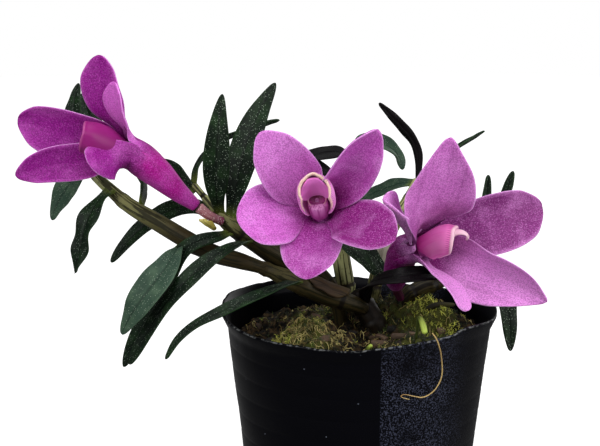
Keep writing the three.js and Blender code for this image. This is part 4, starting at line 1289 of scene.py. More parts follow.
CANES: dict[str, Stem] = {
    "rhizome": Stem(
        [(7.5, -2, 54), (5.3, -2, 61.9), (2.5, -1, 67.3), (-0.2, 0, 70.6), (-1.6, 1, 72.4)],
        [2.3, 3.0, 3.1, 2.8, 2.2], joints=((0.35, 0.1), (0.6, 0.12), (0.82, 0.1)),
        ages=(0.95, 0.95, 0.88, 0.82, 0.8), finish=Finishes.CANE_OLD,
    ),
    "cane_arching": Stem(
        [(1.6, -2.6, 68.6), (-1.8, -6, 71), (-8, -7, 73.3), (-15, -8, 76.6), (-20.9, -9, 79.4),
         (-25.6, -10, 81.7), (-32.2, -11, 84.1), (-38.9, -12, 86.3), (-45.4, -12, 89.7), (-53.4, -11, 94.3),
         (-61.3, -10, 98.9), (-66.4, -9, 103.1), (-69.8, -8, 106.3), (-73, -6, 111.7), (-73.8, -5, 115.6)],
        [1.8, 2.2, 2.7, 2.8, 2.3, 1.7, 2.2, 2.4, 2.4, 2.3, 2.0, 1.6, 1.4, 1.2, 0.9], sides=40, rings=100,
        furrows=0.035,
        joints=((0.1, 0.1), (0.215, 0.08), (0.352, 0.22), (0.55, 0.1), (0.735, 0.1), (0.86, 0.12)),
        ages=(0.95, 0.92, 0.85, 0.8, 0.88, 0.95, 0.85, 0.6, 0.3, 0.1, 0.0),
    ),
    "cane_flowering": Stem(
        [(-4.2, 3, 57), (-5.4, 2.7, 67), (-7.4, 2.5, 73), (-11.4, 1.6, 77.6), (-20.2, -3, 83),
         (-28.2, -6, 88.6), (-33.4, -8, 92.3), (-37, -8, 95.2), (-40.9, -6, 99.5), (-44.7, -4, 103.6)],
        [1.6, 1.9, 2.0, 2.4, 3.5, 3.0, 2.5, 1.7, 0.9, 0.9], sides=36, rings=96, furrows=0.03,
        joints=((0.25, 0.1), (0.4, 0.08), (0.62, 0.1), (0.79, 0.14), (0.9, 0.2)),
        ages=(0.95, 0.95, 0.88, 0.85, 0.88, 0.8, 0.55, 0.25, 0.3),
    ),
    "cane_middle": Stem(
        [(-2.6, 9.5, 61), (-3.2, 8.8, 71), (-4.7, 8.5, 80.6), (-5.6, 9, 89.5), (-4.4, 12, 98.8),
         (-1, 16, 108.5)],
        [2.0, 2.5, 2.5, 2.0, 1.5, 1.1], sides=32, rings=80, furrows=0.03,
        joints=((0.22, 0.1), (0.45, 0.1), (0.6, 0.12), (0.8, 0.12)), ages=(0.8, 0.3, 0.25, 0.4, 0.5, 0.6),
    ),
    "cane_back": Stem(
        [(2.6, 9.5, 60), (4.2, 10, 69), (6, 11.5, 76), (7.9, 13, 82), (11.5, 16, 90.9), (14.4, 18, 95.4),
         (17.3, 20, 100.6)],
        [1.9, 2.0, 2.1, 2.0, 1.6, 1.3, 1.1], sides=32, rings=80, furrows=0.03,
        joints=((0.2, 0.1), (0.42, 0.1), (0.62, 0.12), (0.83, 0.12)),
        ages=(0.8, 0.6, 0.5, 0.5, 0.4, 0.3, 0.3),
    ),
    "cane_right": Stem(
        [(9.5, 6, 60), (12.5, 6, 68.8), (17.4, 7, 71.9), (23.1, 9, 73.6), (27.5, 12, 78.2),
         (31.4, 16, 84.6)],
        [1.9, 2.1, 2.2, 2.1, 1.6, 1.1], sides=32, rings=80, furrows=0.04,
        joints=((0.3, 0.12), (0.5, 0.12), (0.7, 0.12), (0.85, 0.12)), ages=(0.9, 0.5, 0.4, 0.5, 0.4, 0.3),
        finish=Finishes.CANE_OLD,
    ),
}


@dataclass
class Canes:
    """The creeping rhizome and the five jointed canes. Each path runs from the foot to the growing tip."""

    stems: dict[str, Stem] = field(default_factory=lambda: CANES)

    def build(self) -> None:
        """All the canes."""
        for node, stem in self.stems.items():
            slot = "old_cane" if stem.finish is Finishes.CANE_OLD else "cane"
            settle(stem.build(node + "_stem"), stem.finish, slot, node)


# ---------------------------------------------------------------- leaves

# Share of a leaf's width at even steps from its clasping base to its tip.
LANCE = (0.34, 0.5, 0.82, 1, 0.96, 0.78, 0.5, 0.14)
STRAP = (0.42, 0.6, 0.86, 1, 1, 0.9, 0.66, 0.2)
SLIM = (0.5, 0.6, 0.8, 1, 1, 0.9, 0.75, 0.35)
SPEAR = (0.22, 0.42, 0.78, 1, 1, 0.85, 0.56, 0.16)

LEAVES: dict[str, Blade] = {
    "leaf_arching_1": Blade(
        [(-74.3, -5.6, 113.4), (-76.2, -2.5, 121.6), (-76, 0, 126.2), (-75.3, 2, 129.8)],
        5.2, LANCE, (-0.4, -1, 0.2),
    ),
    "leaf_arching_2": Blade(
        [(-72.8, -4.5, 113.4), (-72, 0, 118.6), (-73.6, 4, 122.6), (-75.2, 7.4, 126.4)],
        6.4, LANCE, (0.1, -1, 0.3),
    ),
    "leaf_arching_3": Blade(
        [(-71, -7, 109.4), (-75.5, -2.2, 106), (-79.3, 1, 101.2), (-82, 2.2, 96.7), (-83.7, 2.2, 92.3)],
        8.6, LANCE, (-0.5, -1, 0.5), finish=Finishes.LEAF_PALE,
    ),
    "leaf_arching_4": Blade(
        [(-65.4, -10, 103.2), (-68.9, -13.5, 100.3), (-72.1, -15.5, 94.4), (-73.5, -16, 88.4),
         (-75.3, -15, 81.7)],
        6.2, STRAP, (-0.75, -1, 0.35), wave=(0.7, 2.6), rings=60,
    ),
    "leaf_arching_5": Blade(
        [(-58, -9.8, 98.4), (-57.6, -3, 102.7), (-60.4, 3, 107.6), (-64.8, 7, 112.9), (-68.6, 11, 117.4)],
        7.4, STRAP, (-0.6, -0.6, -0.5),
    ),
    "leaf_flowering_1": Blade(
        [(-37.3, -8.5, 95.8), (-38, -12, 103.4), (-37.8, -13, 112.3), (-37.1, -12, 122),
         (-36.3, -10, 128.4)],
        7.2, LANCE, (0.05, -1, 0.15), rings=56, finish=Finishes.LEAF_WARTY,
    ),
    "leaf_flowering_2": Blade(
        [(-34.6, -8, 93.8), (-33.2, -8, 102.9), (-31.2, -6, 111.9), (-28, -2, 120.6), (-22.7, 3, 129.8)],
        8.2, LANCE, (0.25, -1, 0.25), rings=56, finish=Finishes.LEAF_WARTY,
    ),
    "leaf_flowering_3": Blade(
        [(-37.9, -7.8, 95), (-44.4, -1, 96.7), (-51.1, 2, 95.1), (-58.8, 4, 90.3), (-64.7, 4, 84.4),
         (-68.1, 3, 80.3)],
        5.8, STRAP, (-0.45, -0.8, 0.6),
    ),
    "leaf_flowering_4": Blade(
        [(-43.9, -4.4, 101.6), (-47.8, -3, 104.6), (-51, 1.6, 106.7), (-55.8, 5, 108.4)],
        4.6, STRAP, (-0.5, -1, 0.9),
    ),
    "leaf_flowering_5": Blade(
        [(-44.4, -4, 103.2), (-43.8, -0.6, 107.6), (-39.7, 4, 112.4), (-31, 7.6, 116.1),
         (-21.7, 11, 118.6)],
        5.6, STRAP, (-0.3, 0.4, 1),
    ),
    "leaf_flowering_6": Blade(
        [(-34.6, -8.8, 91.2), (-37.8, -15.6, 91.6), (-41.5, -17.3, 91.1), (-45, -17, 89.4), (-48, -16, 86),
         (-51, -15.5, 80.4), (-54.6, -15, 73.5), (-59.6, -13.5, 63.8), (-63.5, -12, 55)],
        5.4, SLIM, (-0.25, -1, 0.4), roll=(30, 30, 25), rings=64,
    ),
    "leaf_flowering_7": Blade(
        [(-29.2, -6.8, 88.4), (-33.1, -17.5, 89.8), (-38.5, -24, 87.8), (-44, -25.5, 83.3),
         (-50.4, -24, 76.1), (-56.3, -21, 66.5), (-61.1, -19, 57.9)],
        5.2, SLIM, (-0.4, -1, 0.85), rings=64,
    ),
    "leaf_arching_6": Blade(
        [(-47.2, -12.6, 89), (-48.6, -18.4, 88), (-50.6, -22.2, 85), (-53.9, -25, 81), (-58.3, -25.4, 75),
         (-62.5, -22.4, 67.2)],
        8.4, SPEAR, (-0.35, -1, 0.5), rings=56, finish=Finishes.LEAF_PALE,
    ),
    "leaf_low_front": Blade(
        [(-16, -9.5, 77.8), (-19.5, -22, 80.6), (-27.1, -33, 80.2), (-35.5, -36, 77.1), (-42.2, -37, 73.9),
         (-46.6, -38, 70.2), (-49.8, -38, 65.2)],
        4, SLIM, (-0.2, -0.55, 1), rings=64,
    ),
    "leaf_middle_1": Blade(
        [(-2.2, 14.8, 105.8), (-4.8, 17, 108.4), (-8.6, 17.4, 108.3), (-13, 16.4, 107.6),
         (-17.9, 15, 106.8)],
        4.4, STRAP, (-0.1, -0.9, 0.7), finish=Finishes.LEAF_DARK,
    ),
    "leaf_middle_2": Blade(
        [(-0.8, 16, 107.9), (2.3, 20.6, 110.9), (7.7, 23, 109.8), (11.4, 24.5, 106.8), (13.4, 25, 102.3)],
        6.8, STRAP, (0.35, -0.6, 1), roll=(15, 30, 40, 40), finish=Finishes.LEAF_PALE,
    ),
    "leaf_middle_3": Blade(
        [(-4.6, 11.6, 97.8), (-7.4, 14, 101.8), (-10.8, 16, 104.6), (-15.5, 19, 107)],
        4.6, STRAP, (0.2, -0.6, 1), finish=Finishes.LEAF_DARK,
    ),
    "leaf_middle_4": Blade(
        [(-4.9, 7.8, 84.4), (-3.4, 2.4, 85), (-0.6, -0.4, 83.4), (2.5, -2.2, 80.8), (5.2, -3.4, 78.2)],
        4.8, SLIM, (0.5, -0.8, 0.75), finish=Finishes.LEAF_WARTY,
    ),
    "leaf_middle_5": Blade(
        [(-5, 9.8, 86.8), (-1.6, 8.2, 86.4), (2.4, 7, 83), (5.4, 6.2, 79.6), (7.2, 5.7, 76.4)],
        4.6, SLIM, (0.6, -0.8, 0.6), finish=Finishes.LEAF_WARTY,
    ),
    "leaf_back_1": Blade(
        [(17.3, 19.6, 99.6), (17.2, 20, 106.9), (15.5, 21, 111.6), (12.4, 22.3, 115.2), (9.1, 23.4, 118.6),
         (6.3, 25, 121.5)],
        4.2, SLIM, (0.9, 0.75, 0.2), finish=Finishes.LEAF_DARK,
    ),
    "leaf_back_2": Blade(
        [(16.4, 20, 99.4), (12.4, 24, 98.2), (7.9, 28, 95.8), (3.6, 31, 92.9), (-0.1, 33, 88.6)],
        6.6, STRAP, (-0.2, -0.6, 1), finish=Finishes.LEAF_PALE,
    ),
    "leaf_back_3": Blade(
        [(17.9, 20.6, 100), (24, 24.6, 105.4), (30.6, 28, 109.3), (37.2, 31, 112.6)],
        4.6, SLIM, (-0.3, 0.2, 1),
    ),
    "leaf_right_1": Blade(
        [(31, 15.6, 84), (34, 14.6, 89.7), (36, 15.1, 95.9), (36.7, 16, 102.4)],
        3.2, SLIM, (0.2, -1, 0.2), roll=(30, 60, 60),
    ),
    "leaf_right_2": Blade(
        [(31.6, 16.2, 84.2), (37.7, 20, 88.7), (42.4, 24, 94.3), (45.1, 26, 101.7)],
        3.8, SLIM, (-0.4, -1, 0.4), roll=(30, 50, 50),
    ),
    "leaf_right_3": Blade(
        [(27.2, 12, 77.4), (34.8, 9, 77.2), (40.1, 6.5, 72.4), (42, 5.5, 64), (42.8, 5, 54.3)],
        6.2, STRAP, (0.45, -1, 0.5), finish=Finishes.LEAF_WARTY,
    ),
    "leaf_crown_front": Blade(
        [(1.2, -1.6, 69.4), (2.6, -9.5, 77.2), (9.5, -15.5, 80.8), (16.8, -14, 81.2), (24.5, -8.5, 79.4)],
        6, SLIM, (0.1, -0.6, 0.9), finish=Finishes.LEAF_DARK,
    ),
}


@dataclass
class Leaves:
    """The leaves, each clasping its cane at the first point of its path."""

    blades: dict[str, Blade] = field(default_factory=lambda: LEAVES)

    def build(self) -> None:
        """All the leaves."""
        for node, blade in self.blades.items():
            settle(blade.build(node + "_blade"), blade.finish, "leaf", node)


# ---------------------------------------------------------------- flowers

# Share of a floral leaf's width at even steps from the throat to its tip.
OVATE = (0.42, 0.72, 0.95, 1, 0.93, 0.74, 0.44, 0.1)
EGG = (0.46, 0.82, 1, 0.98, 0.86, 0.66, 0.38, 0.1)
BLUNT = (0.4, 0.7, 0.93, 1, 0.98, 0.88, 0.66, 0.18)
ROUNDED = (0.3, 0.5, 0.78, 0.96, 1, 0.94, 0.74, 0.22)
PADDLE = (0.4, 0.5, 0.6, 0.74, 0.9, 1, 0.94, 0.55)
FLAP = (0.85, 0.92, 0.98, 1, 0.98, 0.88, 0.66, 0.18)
# In millimetres: the radius at which the tepals leave the throat and that of the spur behind them, the hood's
# length, its width when laid flat, its height over the axis, and how far its margin reaches back.
THROAT, SPUR_RADIUS = 3.1, 3.95
HOOD_LENGTH, HOOD_WIDTH, HOOD_CROWN, HOOD_MARGIN = 15.6, 11, 4.3, 4
# Share of the column's half height above which its face is flattened under the hood.
BROW = 0.45


@dataclass
class Tepal:
    """One sepal or petal: its angle round the flower, spread away from the axis and turn, all in degrees."""

    angle: float
    spread: float
    length: float
    width: float
    shape: Sequence[float] = BLUNT
    turn: float = 0.0
    twist: float = 0.0
    curl: float = 24.0
    # Painted light and shade on the free part: from 0, darkest, through 0.5, unchanged, to 1, lightest.
    tone: float = 0.5


@dataclass
class Bloom:
    """One flower: five tepals and the spur behind them, the hooded lip, the column and the stalk.

    throat, facing: where it opens and where it looks. lip_angle: the hood's place round the axis, in degrees.
    lip_rise: how far the hood's end lifts from the axis. lip_scale, lip_length: the hood's size and stretch.
    spur, spur_radii: from the throat back. pedicel: the stalk, from the spur to its cane.
    """

    name: str
    throat: Point
    facing: Point
    tepals: Sequence[Tepal]
    lip_angle: float
    lip_rise: float
    lip_scale: float
    spur: Sequence[Point]
    spur_radii: Sequence[float]
    pedicel: Sequence[Point]
    petal_finish: Finishes
    lip_finish: Finishes
    stalk_finish: Finishes = Finishes.STALK
    lip_length: float = 1.0
    hooked: bool = False

    def __post_init__(self) -> None:
        """Works out the flower's axes: forward, up and its own side, and out to the lip and across it."""
        self.centre = np.array(self.throat, float)
        self.forward = unit(np.array(self.facing, float))
        self.up = unit(np.array([0, 0, 1.0]) - self.forward * self.forward[2])
        self.side = np.cross(self.up, self.forward)
        self.out = self.radial(self.lip_angle)
        self.across = np.cross(self.forward, self.out)

    def radial(self, angle: float) -> Array:
        """Unit vector at an angle round the axis."""
        return self.side * math.cos(math.radians(angle)) + self.up * math.sin(math.radians(angle))

    def place(self, out: Array, radius: float, rise: float) -> Point:
        """A point at a radius along out and a rise along the axis."""
        return tuple(self.centre + out * radius + self.forward * rise)

    def gap(self, t: Tepal) -> float:
        """Half of the wider gap to a neighbour, in degrees, which this tepal's seat has to close."""
        turns = sorted((other.angle - t.angle) % 360 for other in self.tepals if other is not t)
        return max(37.0, min(58.0, max(turns[0], 360 - turns[-1]) / 2 + 4))

    def tepal(self, k: int, t: Tepal) -> Piece:
        """One sepal or petal, which grows out of the spur's skin behind the throat."""
        out = self.radial(t.angle)
        radius = t.length * math.sin(math.radians(t.spread))
        rise = t.length * math.cos(math.radians(t.spread))
        # Its free part curves outwards, and its root runs along the spur's skin, a little below it.
        way = ((0.2, 0.3, rise * 0.3), (0.56, 0, rise * 0.72))
        free = [self.place(out, THROAT + (radius - THROAT) * far + more, up) for far, more, up in way]
        free = [self.place(out, THROAT + 0.75, 0.2), *free, self.place(out, radius, rise)]
        spine = Spine(self.spur)
        rooted = []
        for back, sunk in ((9.0, 0.75), (6.0, 0.36), (3.2, 0.2), (1.2, 0.08)):
            (centre,), (tangent,) = spine.even(np.array([back / spine.length]))
            skin = unit(out - tangent * (out @ tangent))
            girth = float(eased(self.spur_radii, np.interp(back, spine.lengths, spine.fine)))
            rooted.append(tuple(centre + skin * (girth - sunk - 0.03 * k)))
        # The root is as wide as its share of the spur's girth and curled round it, then both ease off.
        path = rooted + free
        share = 1 - Spine(free).length / Spine(path).length
        half = self.gap(t)
        seat = 2 * math.radians(half) * SPUR_RADIUS / t.width
        knots = np.linspace(0, 1, 17)
        outer = np.where(knots < share, 0, eased(t.shape, (knots - share) / (1 - share)))
        shape = np.maximum(outer, seat * (1 - step(knots, share - 0.02, share + 0.26)))
        roll = half + (t.curl - half) * step(knots, share - 0.04, share + 0.22)
        return Blade(
            path, t.width, shape, self.forward, roll=roll, turn=t.turn, twist=t.twist, turn_from=share,
            root_face=-out, thickness=0.8, groove=0.12, ruffle=0.16, sides=56, rings=72, along=(-0.3, 1.0),
            tone=t.tone,
        ).build(f"{self.name}_tepal_{k}")

    def petals(self) -> Piece:
        """The tepals and the spur, which grow together as one body."""
        stem = Stem(self.spur, self.spur_radii, sides=48, rings=60, caps=(0.8, 0.4))
        spur = stem.build(self.name + "_spur")
        store = spur.data.attributes[Record.ALONG.value]
        values = np.zeros(len(spur.data.vertices), np.float32)
        store.data.foreach_get("value", values)
        store.data.foreach_set("value", -values)
        return join(self.name + "_petals", [spur] + [self.tepal(k, t) for k, t in enumerate(self.tepals)])

    def lip(self) -> Piece:
        """The hood: its rings stay square to the axis, its mouth is slanted and its margin rolls out."""
        piece, theta, along = straight_tube(self.name + "_hood", 72, 60)
        s, skin = flattened(theta, 0.15)
        u = 1 - (1 - along) ** 1.3
        length, start = HOOD_LENGTH * self.lip_scale * self.lip_length, 1.1
        arc = np.radians(eased((128, 138, 138, 136, 134, 132, 128, 122), u))
        girth = HOOD_WIDTH * self.lip_scale * eased((0.42, 0.62, 0.86, 1, 1, 0.98, 0.88, 0.72), u)
        radius = girth / arc
        lifted = eased((0, 0.3, 0.6, 0.9, 1, 1), u) * self.lip_rise
        crown = eased((2.4, 3.3, 4.2, 4.9, 5.1, HOOD_CROWN), u) + lifted
        # The margin, at the mouth and down both sides, flares out in a frill. A low crest runs to the apex.
        to_mouth = (1 - u) * length
        near = np.minimum(to_mouth, (1 - np.abs(s)) * radius * arc)
        margin = np.clip(1 - near / HOOD_MARGIN, 0, 1) * step(u, 0.3, 0.62)
        flare = 0.3 * step(margin, 0.7, 1.0) + 0.06 * np.sin(30 * s + 3 * u) * step(margin, 0.6, 1.0)
        thick = 0.38 * np.sqrt(np.maximum(1 - np.abs(s) ** 6, 0)) * np.sqrt(np.clip(to_mouth / 0.5, 0.02, 1))
        ahead = start + length * u * (1 - 0.22 * s * s)
        peak = 0.5 * bell(s, 0, 0.16) * step(u, 0.55, 1.0)
        r = radius + flare + peak - skin * thick
        points = self.centre + self.forward * ahead[:, None] + self.across * (r * np.sin(arc * s))[:, None]
        points = points + self.out * (crown - radius + r * np.cos(arc * s))[:, None]
        grown = np.stack([s * radius * arc, skin * thick, u * length], axis=1)
        fill(piece, points, grown=grown, along=u, edge=margin, tone=0.5)
        parts = [piece, self.palate(length + start)]
        if self.hooked:
            parts.append(self.hook(length + start))
        return join(self.name + "_hood", parts)

    def palate(self, tip: float) -> Piece:
        """The smooth wall inside the hood, which slopes from its apex back to the column."""
        crown, lift = HOOD_CROWN + self.lip_rise, self.lip_rise + 1
        line = (
            (crown - 0.2, tip - 0.9), (crown - 1.0, tip - 1.8), (2.3 + lift * 0.8, tip - 3.7),
            (1.9 + lift / 2, 8.0), (1.3 + lift / 2, 6.0),
        )
        return Blade(
            [self.place(self.out, high, ahead) for high, ahead in line],
            8.6, (0.34, 0.8, 0.95, 1, 1, 1.1), self.forward, roll=(34, 44, 50, 50), thickness=0.6, groove=0.0,
            ruffle=0.05, sides=40, rings=48, along=(0.2, 0.35), margin=0.0,
        ).build(self.name + "_palate")

    def hook(self, tip: float) -> Piece:
        """The lip's narrow apex, which curls over into a hook."""
        crown = HOOD_CROWN + self.lip_rise + 0.1
        curl = ((-2.2, -0.1), (-0.8, 0.15), (0.6, 0.3), (1.8, 0.0), (2.6, -0.9), (2.6, -2.1), (1.7, -3.2))
        return Blade(
            [self.place(self.out, crown + drop, tip + ahead) for ahead, drop in curl],
            3.0, (1, 1, 0.7, 0.5, 0.36, 0.3, 0.3), -self.out, roll=(60, 50, 25, 20), thickness=0.6,
            groove=0.0, ruffle=0.03, sides=32, rings=52, along=(0.9, 1.0), margin=0.92,
        ).build(self.name + "_hook")

    def lump(self, part: str, segments: int, rings: int) -> tuple[Piece, Array]:
        """A ball of radius 1, to be shaped into a part of the column, and its corners."""
        clear_selection()
        bpy.ops.mesh.primitive_uv_sphere_add(segments=segments, ring_count=rings, radius=1)
        piece = named(self.name + part)
        return piece, corners(piece)

    def stigma(self, at: Array) -> Piece:
        """The hollow in the column's face."""
        hollow, co = self.lump("_stigma", 36, 20)
        x, y, z = co.T
        rise = np.where(y > BROW, BROW + (y - BROW) * 0.25, y)
        dish = z * 0.6 - 0.45 * np.exp(-((x / 0.6) ** 2 + ((y - 0.1) / 0.5) ** 2)) * (z > 0)
        points = at + self.across * (x * 2.2)[:, None] + self.out * (rise * 2.05)[:, None]
        points = points + self.forward * dish[:, None]
        # along runs up the hollow to past its brow, where the finish paints the anther cap's shadow.
        fill(hollow, points, grown=co * 2, along=(rise + 1) / (1 + BROW), edge=0, tone=0)
        return hollow

    def wing(self, at: Array) -> Piece:
        """The pale rim round the hollow."""
        ring = []
        for q in np.linspace(0, 2 * np.pi, 49)[:-1]:
            v = math.sin(q)
            v = BROW + (v - BROW) * 0.25 if v > BROW else v
            place = at + self.across * (2.3 * math.cos(q)) + self.out * (v * 2.15) + self.forward * 0.12
            ring.append(tuple(place))
        stem = Stem(ring + ring[:2], [0.15] * 50, sides=10, rings=98, caps=(0.05, 0.05))
        return stem.build(self.name + "_wing")

    def anther(self, at: Array) -> Piece:
        """The small notched cap that sits in the hollow."""
        cap, co = self.lump("_anther", 24, 14)
        x, y, z = co.T
        notch = 1 - 0.25 * bell(x, 0, 0.3) * (y < 0)
        at = at + self.forward * 0.35 - self.out * 0.35
        points = at + self.across * (x * 0.5)[:, None] + self.out * (y * 0.6 * notch)[:, None]
        points = points + self.forward * (z * 0.35)[:, None]
        fill(cap, points, grown=co, along=(y + 1) / 2, edge=0, tone=0)
        return cap

    def column(self) -> Piece:
        """The column: a stout post whose face is hollowed, with a pale wing round it and the anther in it."""
        lift = 0.1 + max(self.lip_rise, 0) * 0.7
        path = [self.place(self.out, high, ahead) for high, ahead in ((-0.6, 0.6), (-0.2, 3.4), (lift, 6.6))]
        post = Stem(path, [2.3, 2.6, 2.6], sides=40, rings=30, caps=(0.5, 0.9)).build(self.name + "_post")
        at = self.centre + self.out * (lift + 0.35) + self.forward * 6.7
        parts = [post, self.stigma(at), self.wing(at), self.anther(at)]
        for part, finish in zip(parts, (Finishes.COLUMN, Finishes.MOUTH, Finishes.HALO, Finishes.ANTHER)):
            part.data.materials.append(finish.value.material())
        return join(self.name + "_post", parts)

    def build(self) -> None:
        """The whole flower."""
        settle(self.petals(), self.petal_finish, "tepal", self.name + "_tepals")
        settle(self.lip(), self.lip_finish, "lip", self.name + "_lip")
        settle(self.column(), None, "column", self.name + "_column")
        stalk = Stem(self.pedicel, [1.45, 1.25, 1.2], sides=24, rings=40, caps=(0.3, 0.3), furrows=0.03)
        settle(stalk.build(self.name + "_stalk"), self.stalk_finish, "pedicel", self.name + "_pedicel")


# Each tepal's tone paints light and shade on it: lighter where light falls on it, darker where it is shaded.
BLOOMS = (
    Bloom(
        "bloom_left", throat=(-60.2, -16, 114.1), facing=(-0.84, -0.41, 0.35),
        tepals=(
            Tepal(102, 56, 26, 13.3, ROUNDED, turn=9, twist=26, curl=27, tone=0.45),
            Tepal(83, 56.9, 19.2, 10.4, turn=-5.5, twist=29, curl=23.8, tone=1.0),
            Tepal(184, 33.7, 30.6, 15.2, turn=-26, twist=14, curl=43, tone=0.5),
            Tepal(231, 40.4, 30, 10.2, FLAP, turn=-44, twist=-6, curl=33, tone=0.42),
            Tepal(331.7, 43.5, 17.7, 10.6, FLAP, turn=52, twist=25, curl=20, tone=0.36),
        ),
        lip_angle=18, lip_rise=-0.2, lip_scale=0.91,
        spur=(
            (-59.8, -15.9, 113.9), (-57, -15.5, 111.8), (-52.9, -15, 108.3), (-48, -14, 103.4),
            (-43, -12.7, 99),
        ),
        spur_radii=(3.8, 4.3, 3.9, 2.7, 1.5),
        pedicel=((-42.8, -12.6, 98.9), (-40, -12.2, 96.6), (-36.6, -10.2, 94.5)),
        petal_finish=Finishes.PETAL_LEFT, lip_finish=Finishes.LIP_LEFT,
    ),
    Bloom(
        "bloom_front", throat=(-11, -20, 99.7), facing=(-0.09, -0.95, 0.3),
        tepals=(
            Tepal(130, 54.5, 27.6, 15.4, turn=-15, twist=20, curl=28, tone=0.72),
            Tepal(49.5, 49, 31.2, 15.3, turn=50, twist=-16, curl=60, tone=0.42),
            Tepal(192, 61.4, 23.1, 16.9, ROUNDED, turn=6, twist=8, curl=16, tone=0.6),
            Tepal(337, 54, 27, 15, ROUNDED, turn=-30, twist=12, curl=21, tone=0.08),
            Tepal(263.7, 62.3, 21.1, 16.7, turn=1, twist=11, curl=30, tone=0.25),
        ),
        lip_angle=97, lip_rise=2.3, lip_scale=0.94,
        spur=(
            (-11, -19.4, 99.6), (-10.7, -13.5, 98), (-9.8, -8, 95.2), (-7.8, -2.5, 92.2), (-6.6, 1.6, 90.4),
        ),
        spur_radii=(3.7, 4.0, 3.8, 2.8, 1.7),
        pedicel=((-6.5, 1.9, 90.3), (-5.8, 4.4, 89.2), (-5.4, 8.4, 88.2)),
        petal_finish=Finishes.PETAL_FRONT, lip_finish=Finishes.LIP_FRONT,
    ),
    Bloom(
        "bloom_right", throat=(14.8, -12, 88.3), facing=(0.87, -0.48, 0.125),
        tepals=(
            Tepal(103.5, 62.5, 33.7, 21, EGG, turn=-43, twist=-22, curl=29, tone=0.5),
            Tepal(136.5, 91.5, 22.1, 10.4, PADDLE, turn=56, twist=-33, curl=78, tone=1.0),
            Tepal(14, 42.4, 36.2, 17.4, ROUNDED, turn=-21, twist=3, curl=41, tone=0.08),
            Tepal(260, 51, 22, 10.5, PADDLE, curl=10, tone=0.9),
            Tepal(311.7, 42, 38, 18.6, OVATE, turn=63, twist=-3, curl=54, tone=0.8),
        ),
        lip_angle=130, lip_rise=0.9, lip_scale=0.85, lip_length=0.9,
        spur=((14.5, -11.7, 88.1), (12, -9, 86.2), (10.6, -5, 81.6), (10, -1.4, 77), (10.2, 0.8, 74)),
        spur_radii=(3.7, 4.0, 3.9, 3.2, 1.9),
        pedicel=((10.3, 1.1, 73.7), (10.9, 2.8, 71.8), (12.2, 5.6, 69)), stalk_finish=Finishes.STALK_DARK,
        petal_finish=Finishes.PETAL_RIGHT, lip_finish=Finishes.LIP_RIGHT, hooked=True,
    ),
)


# ---------------------------------------------------------------- sheaths and roots

SHEATHS: dict[str, Blade] = {
    "sheath_base": Blade(
        [(-13.8, -8.4, 80.2), (-8, -7.4, 77.1), (-2.5, -6.2, 74.8)],
        9, (0.5, 0.85, 1, 0.95, 0.6), (0.35, 0.1, -1), roll=(65, 75, 75), finish=Finishes.SHEATH_BROWN,
    ),
    "sheath_grey": Blade(
        [(5.6, 8.6, 76), (7.2, 9.8, 81), (9.6, 12, 86.6)],
        9, (0.9, 1, 0.95, 0.8, 0.45), (-0.3, 1, -0.35), roll=(85, 90, 95), finish=Finishes.SHEATH_GREY,
    ),
    "bract_flower": Blade(
        [(-38.8, -12.6, 92.9), (-40.3, -13.8, 94.2), (-42.4, -14.8, 96)],
        4.4, (0.5, 0.9, 1, 0.8, 0.3), (0.6, 0.5, 0.5), roll=(50, 60, 60), finish=Finishes.BRACT,
    ),
}
# The path and the radii of each fresh root tip.
TIPS: dict[str, tuple[list[Point], list[float]]] = {
    "root_green": (
        [(14, -22, 61), (14.2, -25, 69), (14.5, -27.6, 73), (15.1, -30, 72.2), (15.7, -31.6, 69.8)],
        [0.4, 0.4, 0.55, 0.8, 0.72],
    ),
    "root_tip_front": ([(0.8, -27, 59), (1.2, -30, 65), (1.9, -33.2, 67.4)], [0.85, 0.8, 0.5]),
    "root_tip_back": (
        [(17.5, 2, 61), (18.6, 1, 67), (21.2, 0, 68.9), (26.4, -1, 69.3)],
        [0.6, 0.65, 0.8, 0.5],
    ),
}
# The dry root: its angle round the pot in degrees, its height, its distance from the wall and its radius.
HANGING = (
    (-62.3, 70.6, -0.1, 0.16), (-61.6, 69.6, 0.8, 0.18), (-60.2, 67.6, 0.9, 0.17), (-57.4, 63.2, 1.5, 0.15),
    (-56.2, 57.6, 1.1, 0.17), (-59.3, 54.2, 0.8, 0.15), (-64.2, 53.1, 0.8, 0.16), (-68.3, 53.7, 0.8, 0.15),
    (-73.1, 54.5, 0.8, 0.12), (-74.3, 54.1, 0.9, 0.12), (-72.6, 53.5, 1.0, 0.12), (-70.2, 53.0, 0.8, 0.1),
)


@dataclass
class Dressings:
    """Dry sheaths on the canes, fresh root tips, and the thin dry root that hangs over the rim."""

    pot: Pot

    def sheaths(self) -> None:
        """Each is a blade curled round a stem."""
        for node, blade in SHEATHS.items():
            blade.groove, blade.ruffle, blade.thickness = 0.0, 0.1, 0.6
            settle(blade.build(node + "_scale"), blade.finish, "sheath", node)

    def roots(self) -> None:
        """The fresh tips, of which the one at the back is dull."""
        for node, (path, radii) in TIPS.items():
            finish = Finishes.ROOT_DULL if node == "root_tip_back" else Finishes.ROOT
            tip = Stem(path, radii, sides=20, rings=40, caps=(0.3, 0.7)).build(node + "_tip")
            settle(tip, finish, "root", node)

    def off_wall(self, angle: float, z: float, lift: float) -> Point:
        """A place outside the pot, at an angle in degrees, a height and a distance from the wall."""
        a = math.radians(angle)
        shoulder = self.pot.height - self.pot.shoulder_drop
        r = self.pot.rim_radius if z > shoulder else self.pot.wall_radius(z)
        r += float(self.pot.press(a)) * z / self.pot.height + lift
        return r * math.cos(a), r * math.sin(a), z

    def thread(self) -> None:
        """The dry root, which lies against the outside of the pot."""
        path = [self.off_wall(angle, z, lift) for angle, z, lift, _ in HANGING]
        root = Stem(path, [row[3] for row in HANGING], sides=12, rings=120, caps=(0.2, 0.2))
        settle(root.build("root_hair_thread"), Finishes.THREAD, "root_thread", "root_thread")

    def build(self) -> None:
        """All of them."""
        self.sheaths()
        self.roots()
        self.thread()


# ---------------------------------------------------------------- studio


